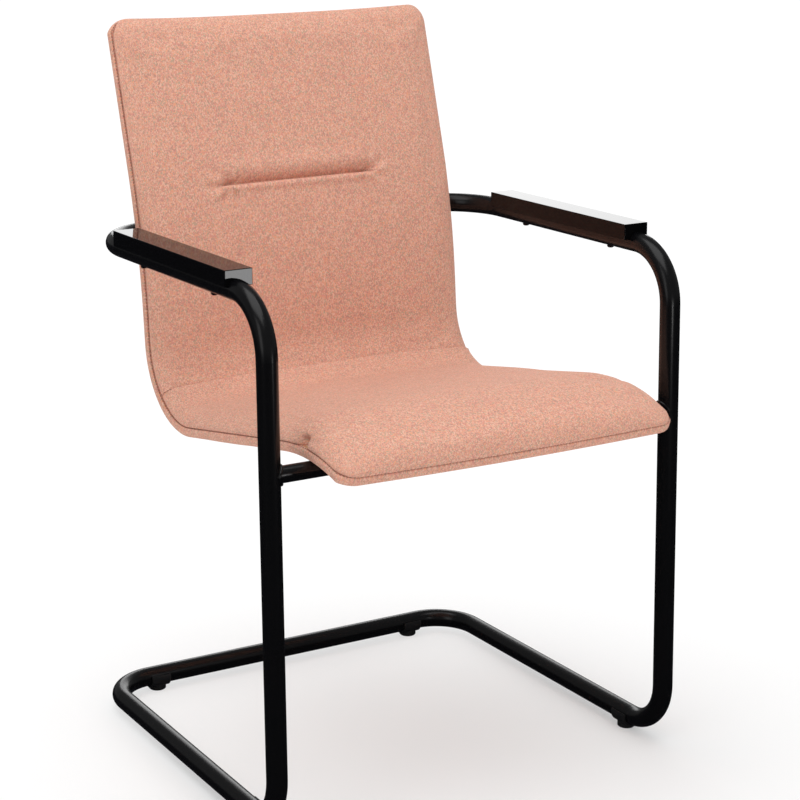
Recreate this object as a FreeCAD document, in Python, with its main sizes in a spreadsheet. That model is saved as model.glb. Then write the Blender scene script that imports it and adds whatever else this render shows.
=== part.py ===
import FreeCAD, Part
import Sketcher
import math
import os

# Sled base visitor chair: a bent steel tube frame that carries a one-piece upholstered
# plywood shell between two arms.
#
# Frame of the model: millimetres, +Z up, the sitter faces -Y, +X is the sitter's left.
# The origin is on the floor, under the middle of the chair's width and depth.

V = FreeCAD.Vector
Rotation = FreeCAD.Rotation
Placement = FreeCAD.Placement
X_AXIS = V(1, 0, 0)
Y_AXIS = V(0, 1, 0)
Z_AXIS = V(0, 0, 1)

doc = FreeCAD.newDocument("visitor_chair")

# Driving dimensions, each written once. Lengths are millimetres and angles are degrees.
SIZES = [
    # Tube frame
    ("side_spacing", 555.0, "between the axes of the two legs"),
    ("rear_spacing", 541.0, "between the runner axes at the rear of the sled"),
    ("sled_depth", 490.0, "from the leg axis to the rear floor bar axis"),
    ("sled_setback", 11.0, "middle of the sled behind the middle of the whole chair"),
    ("arm_height", 640.0, "arm tube axis above the floor at the leg"),
    ("leg_lean", 23.5, "how far the top of the leg stands behind its foot"),
    ("arm_fall", 1.4, "slope of the arm down to the rear"),
    ("tube_diameter", 25.0, "main tube"),
    ("tube_wall", 2.0, "main tube wall"),
    ("floor_gap", 6.5, "tube above the floor, set by the glides"),
    ("heel_radius", 60.0, "bend between runner and rear floor bar"),
    ("foot_radius", 60.0, "bend between runner and leg"),
    ("arm_radius", 68.0, "bend between leg and arm"),
    ("back_radius", 90.0, "bend between arm and back bar"),
    ("sleeve_length", 70.0, "inner sleeve of each butt weld"),
    ("sleeve_wall", 2.0, "inner sleeve wall"),
    ("sleeve_clearance", 0.1, "sleeve inside the tube, on the radius"),
    # Seat crossbar
    ("crossbar_diameter", 20.0, "bar under the front of the seat"),
    ("crossbar_wall", 2.0, "its wall"),
    ("crossbar_height", 442.0, "its axis above the floor"),
    ("weld_size", 2.0, "radius of the weld bead round the crossbar"),
    # Side profile of the seam line, where the front and rear covers meet
    ("seat_pitch", 10.9, "slope of the seat down to the rear"),
    ("front_drop", 18.4, "slope of the seat front down to its edge"),
    ("brow_radius", 268.0, "waterfall curve of the seat front"),
    ("brow_setback", 8.0, "highest point of the seam behind the crossbar"),
    ("seat_length", 248.0, "straight part of the seat"),
    ("bend_radius", 93.0, "bend between seat and back"),
    ("seam_angle", 51.0, "seat and back seam, as an angle round that bend"),
    ("lower_recline", 5.7, "recline of the lower back"),
    ("lower_back", 33.0, "straight part of the lower back"),
    ("lumbar_radius", 900.0, "lumbar curve"),
    ("upper_recline", 17.6, "recline of the upper back"),
    ("upper_back", 185.0, "straight part of the upper back"),
    # Shell and upholstery
    ("cover_width", 460.0, "over the fabric"),
    ("cover_thickness", 1.5, "fabric with its felt backing"),
    ("plywood_thickness", 9.0, "bent beech plywood"),
    ("seam_rise", 1.5, "seam line above the plywood"),
    ("top_corner", 22.0, "upper corners of the plywood"),
    ("front_corner", 38.0, "front corners of the plywood"),
    ("edge_round", 22.0, "how far in from the ends the foam reaches its full height"),
    ("dart_depth", 5.0, "dimple where the seat cover is darted at the front shoulders"),
    ("dart_radius", 9.0, "round of that dimple"),
    ("dart_place", 94.0, "dimple from the front end, along the seat"),
    ("foam_clearance", 0.3, "foam inside the rim of the rear cover"),
    ("pad_rim", 1.0, "straight rim of a pad above the seam line"),
    ("seat_crown", 26.0, "foam above the seam at the middle of the seat"),
    ("seat_shoulder", 21.0, "foam at the shoulder of the seat"),
    ("back_crown", 17.0, "foam in front of the seam at the middle of the back"),
    ("back_shoulder", 13.0, "foam at the shoulder of the back"),
    ("valley_depth", 4.0, "how far the seat and back seam is pulled in"),
    ("tuck_height", 204.0, "sewn tuck below the top edge, along the back"),
    ("tuck_length", 226.0, "length of the tuck"),
    ("tuck_depth", 7.0, "depth of the tuck"),
    ("tuck_radius", 14.0, "round of the tuck"),
    # Fixing of the shell
    ("seat_saddle_gap", 1.4, "least thickness of the seat saddles"),
    ("back_saddle_gap", 12.0, "least thickness of the back saddles"),
    ("saddle_width", 30.0, "saddle across the tube"),
    ("seat_saddle_length", 96.0, "seat saddle along the crossbar"),
    ("seat_saddle_place", 130.0, "middle of a seat saddle from the middle plane"),
    ("seat_screw_spacing", 64.0, "two screws in each seat saddle"),
    ("back_saddle_length", 40.0, "back saddle along the back bar"),
    ("back_saddle_place", 110.0, "middle of a back saddle from the middle plane"),
    ("screw_diameter", 6.0, "shell screws"),
    ("screw_head_diameter", 10.5, "their round heads"),
    ("screw_head_height", 3.3, "their heads"),
    ("socket_size", 4.0, "hexagon socket across the flats"),
    ("screw_clearance", 0.25, "hole round a screw, on the radius"),
    ("washer_diameter", 13.0, "curved washer under a screw head"),
    ("washer_thickness", 1.6, "its least thickness"),
    ("nut_barrel_diameter", 8.0, "tee nut barrel"),
    ("nut_flange_diameter", 19.0, "tee nut flange"),
    ("nut_flange_thickness", 1.2, "tee nut flange"),
    # Armrests
    ("armrest_width", 35.0, "gloss black armrest block"),
    ("armrest_height", 19.5, "its height"),
    ("armrest_length", 297.0, "its length"),
    ("armrest_inset", 2.5, "its middle, inside the arm axis"),
    ("groove_depth", 8.6, "how deep the arm tube sits in it"),
    ("groove_clearance", 0.15, "groove round the tube, on the radius"),
    ("armrest_edge", 0.8, "rounding of its edges"),
    ("armrest_screw_inset", 55.0, "screws from the ends of the armrest"),
    ("armrest_screw_diameter", 5.0, "armrest screws"),
    ("insert_diameter", 7.0, "threaded insert"),
    ("insert_length", 8.0, "threaded insert"),
    # Glides
    ("glide_wall", 2.6, "shell of the glide round the tube"),
    ("glide_length", 27.0, "glide along the tube"),
    ("glide_wrap", 105.0, "how far the glide reaches round, from straight down"),
    ("glide_foot_diameter", 23.0, "round foot on the floor"),
    ("glide_stud_diameter", 6.0, "stud that snaps into the tube"),
    ("glide_clearance", 0.1, "glide round the tube, on the radius"),
    ("rear_glide_place", 198.0, "rear glide from the middle plane"),
    ("front_glide_place", 73.0, "front glide behind the leg's foot corner"),
]

sheet = doc.addObject("Spreadsheet::Sheet", "Sizes")
for row, (alias, value, meaning) in enumerate(SIZES, 1):
    sheet.set("A%d" % row, alias)
    sheet.set("B%d" % row, str(value))
    sheet.set("C%d" % row, meaning)
    sheet.setAlias("B%d" % row, alias)
doc.recompute()


class Size:
    """A number together with the sheet expression that gives it."""

    def __init__(self, value, text):
        self.value = float(value)
        self.text = text

    def __add__(self, other):
        return joined(self, "+", other, lambda a, b: a + b)

    def __sub__(self, other):
        return joined(self, "-", other, lambda a, b: a - b)

    def __mul__(self, other):
        return joined(self, "*", other, lambda a, b: a * b)

    def __truediv__(self, other):
        return joined(self, "/", other, lambda a, b: a / b)

    def __neg__(self):
        return Size(-self.value, "(-%s)" % self.text)


def joined(left, sign, right, rule):
    right = right if isinstance(right, Size) else Size(right, repr(float(right)))
    return Size(rule(left.value, right.value), "(%s %s %s)" % (left.text, sign, right.text))


def size(alias):
    return Size(sheet.get(alias), "Sizes." + alias)


def number(alias):
    return float(sheet.get(alias))


def bind(target, name, amount):
    """Set one property to a size, and tie it to the sheet."""
    setattr(target, name, amount.value)
    target.setExpression(name, amount.text)


# Small tools for bodies and sketches

def new_body(label):
    body = doc.addObject("PartDesign::Body", label)
    body.Label = label
    return body


def new_sketch(body, role, name, at=V(0, 0, 0)):
    sketch = body.newObject("Sketcher::SketchObject", name)
    plane = [item for item in body.Origin.OriginFeatures if item.Role == role][0]
    sketch.AttachmentSupport = [(plane, "")]
    sketch.MapMode = "FlatFace"
    sketch.AttachmentOffset = Placement(at, Rotation())
    return sketch


def fix_point(sketch, index, end, x, y):
    """Hold one point of a sketch at (x, y) from the origin."""
    for kind, amount, axis in (("DistanceX", x, -2), ("DistanceY", y, -1)):
        if abs(amount.value) < 1e-9:
            sketch.addConstraint(Sketcher.Constraint("PointOnObject", index, end, axis))
        else:
            item = Sketcher.Constraint(kind, -1, 1, index, end, amount.value)
            place = sketch.addConstraint(item)
            sketch.setExpression("Constraints[%d]" % place, amount.text)


def add_outline(sketch, points):
    """A closed outline of straight lines whose corners are tied to the sheet."""
    count = len(points)
    corners = [V(x.value, y.value, 0) for x, y in points]
    lines = []
    for k in range(count):
        line = Part.LineSegment(corners[k], corners[(k + 1) % count])
        lines.append(sketch.addGeometry(line, False))
    for k in range(count):
        after = lines[(k + 1) % count]
        sketch.addConstraint(Sketcher.Constraint("Coincident", lines[k], 2, after, 1))
    for k, (x, y) in enumerate(points):
        fix_point(sketch, lines[k], 1, x, y)


def add_circle(sketch, x, y, radius):
    circle = Part.Circle(V(x.value, y.value, 0), Z_AXIS, radius.value)
    index = sketch.addGeometry(circle, False)
    fix_point(sketch, index, 3, x, y)
    place = sketch.addConstraint(Sketcher.Constraint("Radius", index, radius.value))
    sketch.setExpression("Constraints[%d]" % place, radius.text)


def add_pad(body, sketch, name, length, both_sides=False):
    pad = body.newObject("PartDesign::Pad", name)
    pad.Profile = sketch
    bind(pad, "Length", length)
    if both_sides:
        pad.SideType = "Symmetric"
    return pad


def add_pocket(body, sketch, name, length, reverse=False, both_sides=False):
    """A pocket, refused if it removes nothing."""
    doc.recompute()
    before = body.Shape.Volume
    pocket = body.newObject("PartDesign::Pocket", name)
    pocket.Profile = sketch
    bind(pocket, "Length", length)
    pocket.Reversed = reverse
    if both_sides:
        pocket.SideType = "Symmetric"
    doc.recompute()
    if body.Shape.Volume > before - 1e-3:
        raise ValueError("pocket %s of %s removes nothing" % (name, body.Label))
    return pocket


def add_revolution(body, sketch, name):
    turned = body.newObject("PartDesign::Revolution", name)
    turned.Profile = sketch
    turned.ReferenceAxis = (sketch, ["V_Axis"])
    turned.Angle = 360.0
    return turned


def solid_part(label, shape):
    """A sub-part whose shape comes from the geometry kernel."""
    item = doc.addObject("Part::Feature", label)
    item.Label = label
    item.Shape = shape
    return item


def cylinder(base, direction, radius, length):
    return Part.makeCylinder(radius, length, base, direction)


def turned_to(direction, across=X_AXIS):
    """Rotation that takes local Z to a direction and keeps local X close to another."""
    return Rotation(across, V(0, 0, 0), direction, "ZXY")


ZERO = Size(0, "0")
PARTS = []

# Places on the frame

tube_r = number("tube_diameter") / 2
bar_r = number("crossbar_diameter") / 2
half_side = number("side_spacing") / 2
half_rear = number("rear_spacing") / 2
floor_axis = number("floor_gap") + tube_r
foot_y = number("sled_setback") - number("sled_depth") / 2
heel_y = number("sled_setback") + number("sled_depth") / 2
leg_top_y = foot_y + number("leg_lean")
arm_slope = math.tan(math.radians(number("arm_fall")))


def arm_axis_height(y):
    return number("arm_height") - arm_slope * (y - leg_top_y)


def leg_axis_y(z):
    share = (z - floor_axis) / (number("arm_height") - floor_axis)
    return foot_y + number("leg_lean") * share


crossbar_z = number("crossbar_height")
crossbar_y = leg_axis_y(crossbar_z)


# Side profile of the seat and back

class Profile:
    """The seam line in the YZ plane, from the front edge of the seat to the top of the back.

    It is a chain of pieces, each with a length and a turn. Positions run along it, and a
    height is measured across it, towards the sitter.
    """

    def __init__(self):
        radians = math.radians
        pitch = radians(number("seat_pitch"))
        drop = radians(number("front_drop"))
        lower = radians(number("lower_recline"))
        upper = radians(number("upper_recline"))
        brow = number("brow_radius")
        bend = number("bend_radius")
        lumbar = number("lumbar_radius")
        bend_turn = math.pi / 2 - lower + pitch
        self.pieces = [
            ("arc", brow * drop, -drop),
            ("arc", brow * pitch, -pitch),
            ("line", number("seat_length"), 0.0),
            ("arc", bend * bend_turn, bend_turn),
            ("line", number("lower_back"), 0.0),
            ("arc", lumbar * (upper - lower), lower - upper),
            ("line", number("upper_back"), 0.0),
        ]
        peak = V(0, crossbar_y + number("brow_setback"), crossbar_z + bar_r
                 + number("seat_saddle_gap") + shell_depth() - number("cover_thickness"))
        start = peak - V(0, brow * math.sin(drop), brow * (1 - math.cos(drop)))
        self.starts = []
        point, heading, place = start, drop, 0.0
        for kind, length, turn in self.pieces:
            self.starts.append((place, point, heading))
            point = self.step(point, heading, length, turn, length)
            heading += turn
            place += length
        self.length = place
        self.end = (place, point, heading)
        self.seam = self.starts[3][0] + bend * radians(number("seam_angle"))

    @staticmethod
    def step(point, heading, length, turn, along):
        if abs(turn) < 1e-9:
            return point + V(0, math.cos(heading), math.sin(heading)) * along
        radius = length / turn
        after = heading + turn * along / length
        return point + V(0, math.sin(after) - math.sin(heading),
                         math.cos(heading) - math.cos(after)) * radius

    def at(self, place):
        """Point, direction along the profile and direction towards the sitter."""
        index = 0
        for k, (begin, point, heading) in enumerate(self.starts):
            if place >= begin - 1e-9:
                index = k
        begin, point, heading = self.starts[index]
        kind, length, turn = self.pieces[index]
        inside = min(max(place - begin, 0.0), length)
        rest = place - begin - inside
        here = self.step(point, heading, length, turn, inside)
        heading += turn * inside / length
        along = V(0, math.cos(heading), math.sin(heading))
        return here + along * rest, along, V(0, -math.sin(heading), math.cos(heading))

    def edge_line(self, height, extra):
        """Lines and arcs at one height, lengthened by extra at both ends."""
        def place_at(place):
            here, along, across = self.at(place)
            return here + across * height

        edges = []
        if extra > 0:
            edges.append(Part.makeLine(place_at(-extra), place_at(0)))
        for (kind, length, turn), (begin, point, heading) in zip(self.pieces, self.starts):
            first, last = place_at(begin), place_at(begin + length)
            if kind == "line":
                edges.append(Part.makeLine(first, last))
            else:
                middle = place_at(begin + length / 2)
                edges.append(Part.Arc(first, middle, last).toShape())
        if extra > 0:
            edges.append(Part.makeLine(place_at(self.length), place_at(self.length + extra)))
        return edges

    def place_of_depth(self, y):
        """Position on the seat part of the profile at a depth."""
        low, high = 0.0, self.starts[3][0]
        for _ in range(50):
            middle = (low + high) / 2
            if self.at(middle)[0].y < y:
                low = middle
            else:
                high = middle
        return low


def shell_depth():
    """From the seam line through the plywood and the rear cover, plus one cover."""
    return (number("seam_rise") + number("plywood_thickness")
            + 2 * number("cover_thickness"))


profile = Profile()
cover = number("cover_thickness")
ply_front = -number("seam_rise")
ply_rear = ply_front - number("plywood_thickness")
shell_rear = ply_rear - cover
half_cover = number("cover_width") / 2
half_shell = half_cover - cover

# The back bar stands off the rear of the shell by the least thickness of the back saddles,
# where the arms reach its height.
back_offset = shell_rear - number("back_saddle_gap") - tube_r
low, high = profile.starts[4][0], profile.length
for _ in range(60):
    back_place = (low + high) / 2
    back_point, back_up, back_out = profile.at(back_place)
    back_axis_point = back_point + back_out * back_offset
    if back_axis_point.z < arm_axis_height(back_axis_point.y):
        low = back_place
    else:
        high = back_place
back_bar_y, back_bar_z = back_axis_point.y, back_axis_point.z


# Tube frame

def bent_path(corners, radii):
    """A wire through corners in space, with a round bend at each inner corner."""
    edges = []
    begin = corners[0]
    for k in range(1, len(corners) - 1):
        corner = corners[k]
        before = (corners[k - 1] - corner).normalize()
        after = (corners[k + 1] - corner).normalize()
        half = before.getAngle(after) / 2
        reach = radii[k - 1] / math.tan(half)
        first = corner + before * reach
        last = corner + after * reach
        inward = (before + after).normalize()
        middle = corner + inward * (radii[k - 1] / math.sin(half) - radii[k - 1])
        edges.append(Part.makeLine(begin, first))
        edges.append(Part.Arc(first, middle, last).toShape())
        begin = last
    edges.append(Part.makeLine(begin, corners[-1]))
    return Part.Wire(edges)


def half_frame_corners(side):
    """Corners of one half of the frame: floor bar, runner, leg, arm and back bar."""
    return [
        V(0, heel_y, floor_axis),
        V(side * half_rear, heel_y, floor_axis),
        V(side * half_side, foot_y, floor_axis),
        V(side * half_side, leg_top_y, number("arm_height")),
        V(side * half_side, back_bar_y, back_bar_z),
        V(0, back_bar_y, back_bar_z),
    ]


BENDS = [number("heel_radius"), number("foot_radius"), number("arm_radius"),
         number("back_radius")]


def swept_rod(name, path, start, radius):
    """A round rod along a path, its radius tied to the sheet."""
    ring = doc.addObject("Part::Circle", name + "_ring")
    bind(ring, "Radius", radius)
    ring.Placement = Placement(start, Rotation(Z_AXIS, X_AXIS))
    rod = doc.addObject("Part::Sweep", name)
    rod.Sections = [ring]
    rod.Spine = (path, ["Edge%d" % (k + 1) for k in range(len(path.Shape.Edges))])
    rod.Solid = True
    rod.Frenet = False
    return rod


def runner_point(side, behind):
    """Point on a runner axis, and the direction along the runner."""
    foot = V(side * half_side, foot_y, floor_axis)
    heel = V(side * half_rear, heel_y, floor_axis)
    along = (heel - foot).normalize()
    return foot + along * behind, along


arm_along = V(0, math.cos(math.radians(number("arm_fall"))),
              -math.sin(math.radians(number("arm_fall"))))
arm_up = V(0, -arm_along.z, arm_along.y)
leg_along = V(0, number("leg_lean"), number("arm_height") - floor_axis).normalize()
arm_bend_reach = number("arm_radius") * math.tan(
    (math.pi - (leg_along * -1).getAngle(arm_along)) / 2)
armrest_start = V(0, leg_top_y, number("arm_height")) + arm_along * arm_bend_reach
armrest_length = number("armrest_length")
armrest_screw_places = [number("armrest_screw_inset"),
                        armrest_length - number("armrest_screw_inset")]


def armrest_screw_point(side, place):
    return armrest_start + arm_along * place + V(side * half_side, 0, 0)


# The shell screws go straight through the tubes and square to the shell.
seat_axis_point = V(0, crossbar_y, crossbar_z)
seat_place = profile.place_of_depth(crossbar_y)
for _ in range(20):
    seat_point, seat_rear, seat_out = profile.at(seat_place)
    seat_place += (seat_axis_point - seat_point).dot(seat_rear)
seat_offset = (seat_axis_point - seat_point).dot(seat_out)
screw_hole_r = number("screw_diameter") / 2 + number("screw_clearance")
seat_screw_x = [side * (number("seat_saddle_place") + step * number("seat_screw_spacing") / 2)
                for side in (-1, 1) for step in (-1, 1)]
back_screw_x = [side * number("back_saddle_place") for side in (-1, 1)]

glide_places = []
for side, word in ((-1, "right"), (1, "left")):
    point, along = runner_point(side, number("front_glide_place"))
    glide_places.append(("glide_front_" + word, point, along))
for side, word in ((-1, "right"), (1, "left")):
    point = V(side * number("rear_glide_place"), heel_y, floor_axis)
    glide_places.append(("glide_rear_" + word, point, X_AXIS))


def frame_holes(side):
    """Holes in one half of the frame for glide studs, armrest screws and back screws."""
    holes = []
    stud_r = number("glide_stud_diameter") / 2 + number("screw_clearance")
    for name, point, along in glide_places:
        if point.x * side > 0:
            holes.append(cylinder(point, Z_AXIS * -1, stud_r, 2 * tube_r))
    pin_r = number("armrest_screw_diameter") / 2 + number("screw_clearance")
    for place in armrest_screw_places:
        point = armrest_screw_point(side, place) - arm_up * 2 * tube_r
        holes.append(cylinder(point, arm_up, pin_r, 4 * tube_r))
    point = back_axis_point + V(side * number("back_saddle_place"), 0, 0)
    holes.append(cylinder(point - back_out * 2 * tube_r, back_out, screw_hole_r, 4 * tube_r))
    return Part.makeCompound(holes)


for side, word in ((-1, "right"), (1, "left")):
    path = doc.addObject("Part::Feature", word + "_path")
    path.Shape = bent_path(half_frame_corners(side), BENDS)
    start = half_frame_corners(side)[0]
    outer = swept_rod(word + "_outer", path, start, size("tube_diameter") / 2)
    bore = swept_rod(word + "_bore", path, start, size("tube_diameter") / 2 - size("tube_wall"))
    tube = doc.addObject("Part::Cut", word + "_tube")
    tube.Base = outer
    tube.Tool = bore
    holes = solid_part(word + "_tube_holes", frame_holes(side))
    drilled = doc.addObject("Part::Cut", word + "_frame_tube")
    drilled.Label = word + "_frame_tube"
    drilled.Base = tube
    drilled.Tool = holes
    PARTS.append(drilled)

# Inner sleeves of the two butt welds

sleeve_outer = size("tube_diameter") / 2 - size("tube_wall") - size("sleeve_clearance")
for label, at in (("floor_weld_sleeve", V(0, heel_y, floor_axis)),
                  ("back_weld_sleeve", back_axis_point)):
    body = new_body(label)
    sketch = new_sketch(body, "YZ_Plane", label + "_ring")
    add_circle(sketch, ZERO, ZERO, sleeve_outer)
    add_circle(sketch, ZERO, ZERO, sleeve_outer - size("sleeve_wall"))
    add_pad(body, sketch, label + "_pad", size("sleeve_length"), both_sides=True)
    body.Placement = Placement(at, Rotation())
    PARTS.append(body)

# Seat crossbar, coped to the legs, and its weld beads

bar_start = V(-half_side, crossbar_y, crossbar_z)
bar_solids = []
for name, radius in (("crossbar_outer", size("crossbar_diameter") / 2),
                     ("crossbar_bore", size("crossbar_diameter") / 2 - size("crossbar_wall"))):
    rod = doc.addObject("Part::Cylinder", name)
    bind(rod, "Radius", radius)
    bind(rod, "Height", size("side_spacing"))
    rod.Placement = Placement(bar_start, Rotation(Z_AXIS, X_AXIS))
    bar_solids.append(rod)
bar_tube = doc.addObject("Part::Cut", "crossbar_tube")
bar_tube.Base, bar_tube.Tool = bar_solids
cutters = []
for side in (-1, 1):
    leg_foot = V(side * half_side, foot_y, floor_axis)
    cutters.append(cylinder(leg_foot, leg_along, tube_r, number("arm_height")))
for x in seat_screw_x:
    point = seat_axis_point + V(x, 0, 0) - seat_out * 2 * bar_r
    cutters.append(cylinder(point, seat_out, screw_hole_r, 4 * bar_r))
crossbar = doc.addObject("Part::Cut", "seat_crossbar")
crossbar.Label = "seat_crossbar"
crossbar.Base = bar_tube
crossbar.Tool = solid_part("crossbar_cuts", Part.makeCompound(cutters))
PARTS.append(crossbar)


def weld_bead(side):
    """A bead along the saddle-shaped line where the crossbar meets a leg."""
    count = 24
    reach = bar_r + number("weld_size") * 0.5
    points = []
    for k in range(count):
        turn = 2 * math.pi * k / count
        across = reach * math.cos(turn)
        inset = math.sqrt(tube_r ** 2 - across ** 2) + number("weld_size") * 0.35
        lean = number("leg_lean") / number("arm_height") * reach * math.sin(turn)
        points.append(V(side * (half_side - inset), crossbar_y + across + lean,
                        crossbar_z + reach * math.sin(turn)))
    curve = Part.BSplineCurve()
    curve.interpolate(points, PeriodicFlag=True)
    first, last = curve.FirstParameter, curve.LastParameter
    bead = None
    for begin, end in ((first, (first + last) / 2), ((first + last) / 2, last)):
        ring = Part.makeCircle(number("weld_size"), curve.value(begin), curve.tangent(begin)[0])
        line = Part.Wire([Part.Edge(curve, begin, end)])
        half = line.makePipeShell([Part.Wire([ring])], True, False)
        bead = half if bead is None else bead.fuse(half)
    leg = cylinder(V(side * half_side, foot_y, floor_axis), leg_along, tube_r,
                   number("arm_height"))
    bar = cylinder(bar_start, X_AXIS, bar_r, 2 * half_side)
    return bead.cut(leg).cut(bar)


PARTS.append(solid_part("crossbar_welds", Part.makeCompound([weld_bead(-1), weld_bead(1)])))


# Plywood shell and rear cover

def slab(low, high, half_width, extra, corners=None):
    """A slab that follows the profile between two heights.

    corners, when given, are the radii of its front corners and of its upper corners.
    """
    lower = profile.edge_line(low, extra)
    upper = profile.edge_line(high, extra)
    ends = [Part.makeLine(lower[-1].lastVertex().Point, upper[-1].lastVertex().Point),
            Part.makeLine(upper[0].firstVertex().Point, lower[0].firstVertex().Point)]
    wire = Part.Wire(Part.__sortEdges__(lower + upper + ends))
    face = Part.Face(wire)
    face.translate(V(-half_width, 0, 0))
    solid = face.extrude(V(2 * half_width, 0, 0))
    if corners is None:
        return solid
    for radius, line in ((corners[0], ends[1]), (corners[1], ends[0])):
        middle = line.CenterOfMass
        short = [edge for edge in solid.Edges
                 if V(0, edge.CenterOfMass.y, edge.CenterOfMass.z).distanceToPoint(middle) < 1e-4
                 and abs(edge.Length - line.Length) < 1e-4]
        solid = solid.makeFillet(radius, short)
    return solid


def shell_hole(point, out, x, radius, low, high):
    base = point + V(x, 0, 0) + out * low
    return cylinder(base, out, radius, high - low)


def shell_holes(radius, low, high):
    holes = [shell_hole(seat_point, seat_out, x, radius, low, high) for x in seat_screw_x]
    holes += [shell_hole(back_point, back_out, x, radius, low, high) for x in back_screw_x]
    return Part.makeCompound(holes)


front_corner = number("front_corner")
top_corner = number("top_corner")
plywood = slab(ply_rear, ply_front, half_shell, 0, (front_corner, top_corner))
plywood = plywood.cut(shell_holes(number("nut_barrel_diameter") / 2, ply_rear - 1, ply_front + 1))
PARTS.append(solid_part("plywood_shell", plywood))

rear_cover = slab(shell_rear, 0, half_cover, cover, (front_corner + cover, top_corner + cover))
rear_cover = rear_cover.cut(slab(ply_rear, 1.0, half_shell, 0, (front_corner, top_corner)))
rear_cover = rear_cover.cut(shell_holes(screw_hole_r, shell_rear - 1, ply_rear + 0.5))
PARTS.append(solid_part("rear_cover", rear_cover))


# Foam pads and their covers

def station(place, edge, shoulder, crown, height_below, reach):
    """Cross-section of a pad: two rounded shoulders and a crowned top."""
    here, along, across = profile.at(place)

    def point(x, height):
        return here + V(x, 0, 0) + across * height

    bulge = 1 - math.sqrt(0.5)
    rim = number("pad_rim")
    rounded = rim + (shoulder - rim) * (1 - bulge)
    right = [point(-edge, rim), point(-edge + reach * bulge, rounded),
             point(-edge + reach, shoulder)]
    left = [point(edge, rim), point(edge - reach * bulge, rounded),
            point(edge - reach, shoulder)]
    low_right, low_left = point(-edge, -height_below), point(edge, -height_below)
    return Part.Wire([
        Part.Arc(right[0], right[1], right[2]).toShape(),
        Part.Arc(right[2], point(0, crown), left[2]).toShape(),
        Part.Arc(left[2], left[1], left[0]).toShape(),
        Part.makeLine(left[0], low_left),
        Part.makeLine(low_left, low_right),
        Part.makeLine(low_right, right[0]),
    ])


END_ANGLES = [12, 32, 58, 90]
VALLEY_STEPS = [0.0, 4.0, 14.0]


def pad_loft(places, end, shoulder, crown, grow):
    """A crowned pad from the seat and back seam to one end of the shell.

    grow is 0 for the foam and the cover thickness for the outside of its cover.
    """
    sign = 1 if end > profile.seam else -1
    end = end + sign * grow
    edge = half_cover if grow > 0 else half_shell - number("foam_clearance")
    shoulder = shoulder + grow
    crown = crown + grow
    round_end = (top_corner if sign > 0 else front_corner) + grow
    rise = number("edge_round") + grow
    wires = []
    for step in VALLEY_STEPS:
        pulled = number("valley_depth") * (1 - step / VALLEY_STEPS[-1]) ** 3
        wires.append(station(profile.seam + sign * step, edge, shoulder - pulled,
                             crown - pulled, 4.0, shoulder))
    for place in places + [end - sign * (round_end + 8)]:
        wires.append(station(place, edge, shoulder, crown, 4.0, shoulder))
    for angle in reversed(END_ANGLES):
        turn = math.radians(angle)
        from_end = round_end * (1 - math.cos(turn))
        inset = round_end * (1 - math.sin(turn))
        low = (1 - max(1 - from_end / rise, 0) ** 2) ** 0.35
        wires.append(station(end - sign * from_end, edge - inset, shoulder * low,
                             crown * low, 4.0, shoulder * (0.4 + 0.6 * low)))
    return Part.makeLoft(wires, True, False)


def spread(first, last, count):
    """Evenly spaced places between two others, which are left out."""
    return [first + (last - first) * (k + 1) / (count + 1) for k in range(count)]


seat_bend_start = profile.starts[3][0]
brow_end = profile.starts[2][0]
seat_places = (spread(profile.seam - VALLEY_STEPS[-1], seat_bend_start, 1) + [seat_bend_start]
               + spread(seat_bend_start, brow_end, 1) + [brow_end]
               + spread(brow_end, front_corner + 10, 1))
lower_start = profile.starts[4][0]
lumbar_start = profile.starts[5][0]
upper_start = profile.starts[6][0]
back_places = (spread(profile.seam + VALLEY_STEPS[-1], lower_start, 1)
               + [lower_start, lumbar_start] + spread(lumbar_start, upper_start, 1)
               + [upper_start] + spread(upper_start, profile.length - top_corner - 10, 1))


def tuck(grow):
    """The sewn tuck across the back, as a rod with round ends that the pad is cut by."""
    radius = number("tuck_radius") - grow
    place = profile.length - number("tuck_height")
    here, along, across = profile.at(place)
    level = number("back_crown") - number("tuck_depth") + number("tuck_radius")
    middle = here + across * (level + cover)
    half = number("tuck_length") / 2 - number("tuck_radius")
    rod = cylinder(middle - X_AXIS * half, X_AXIS, radius, 2 * half)
    for end in (-1, 1):
        rod = rod.fuse(Part.makeSphere(radius, middle + X_AXIS * half * end))
    return rod


def darts(grow):
    """Two balls that dimple the shoulders of the seat."""
    radius = number("dart_radius") - grow
    here, along, across = profile.at(number("dart_place"))
    reach = half_cover + number("dart_radius") - number("dart_depth")
    level = number("seat_shoulder") * 0.55
    balls = [Part.makeSphere(radius, here + across * level + X_AXIS * reach * side)
             for side in (-1, 1)]
    return Part.makeCompound(balls)


def outside(kind, grow):
    """The front side of one pad: the foam when grow is 0, else the face of its cover."""
    if kind == "seat":
        pad = pad_loft(seat_places, 0.0, number("seat_shoulder"), number("seat_crown"), grow)
        return pad.cut(darts(grow - cover))
    pad = pad_loft(back_places, profile.length, number("back_shoulder"),
                   number("back_crown"), grow)
    return pad.cut(tuck(grow - cover))


wide = half_cover + 30
below_seam = slab(shell_rear - 20, 0, wide, 40)
below_foam = slab(shell_rear - 20, ply_front, wide, 40)
flanges = shell_holes(number("nut_flange_diameter") / 2, ply_front - 0.5,
                      ply_front + number("nut_flange_thickness") + 0.05)
screw_tip = ply_front + number("nut_flange_thickness") + 3.0
for kind in ("seat", "back"):
    inner = outside(kind, 0)
    foam = inner.cut(below_foam).cut(flanges)
    foam = foam.cut(shell_holes(screw_hole_r, ply_front, screw_tip + 0.5))
    PARTS.append(solid_part(kind + "_foam", foam))
    PARTS.append(solid_part(kind + "_cover", outside(kind, cover).cut(inner).cut(below_seam)))


# Saddles between the tubes and the shell

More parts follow.
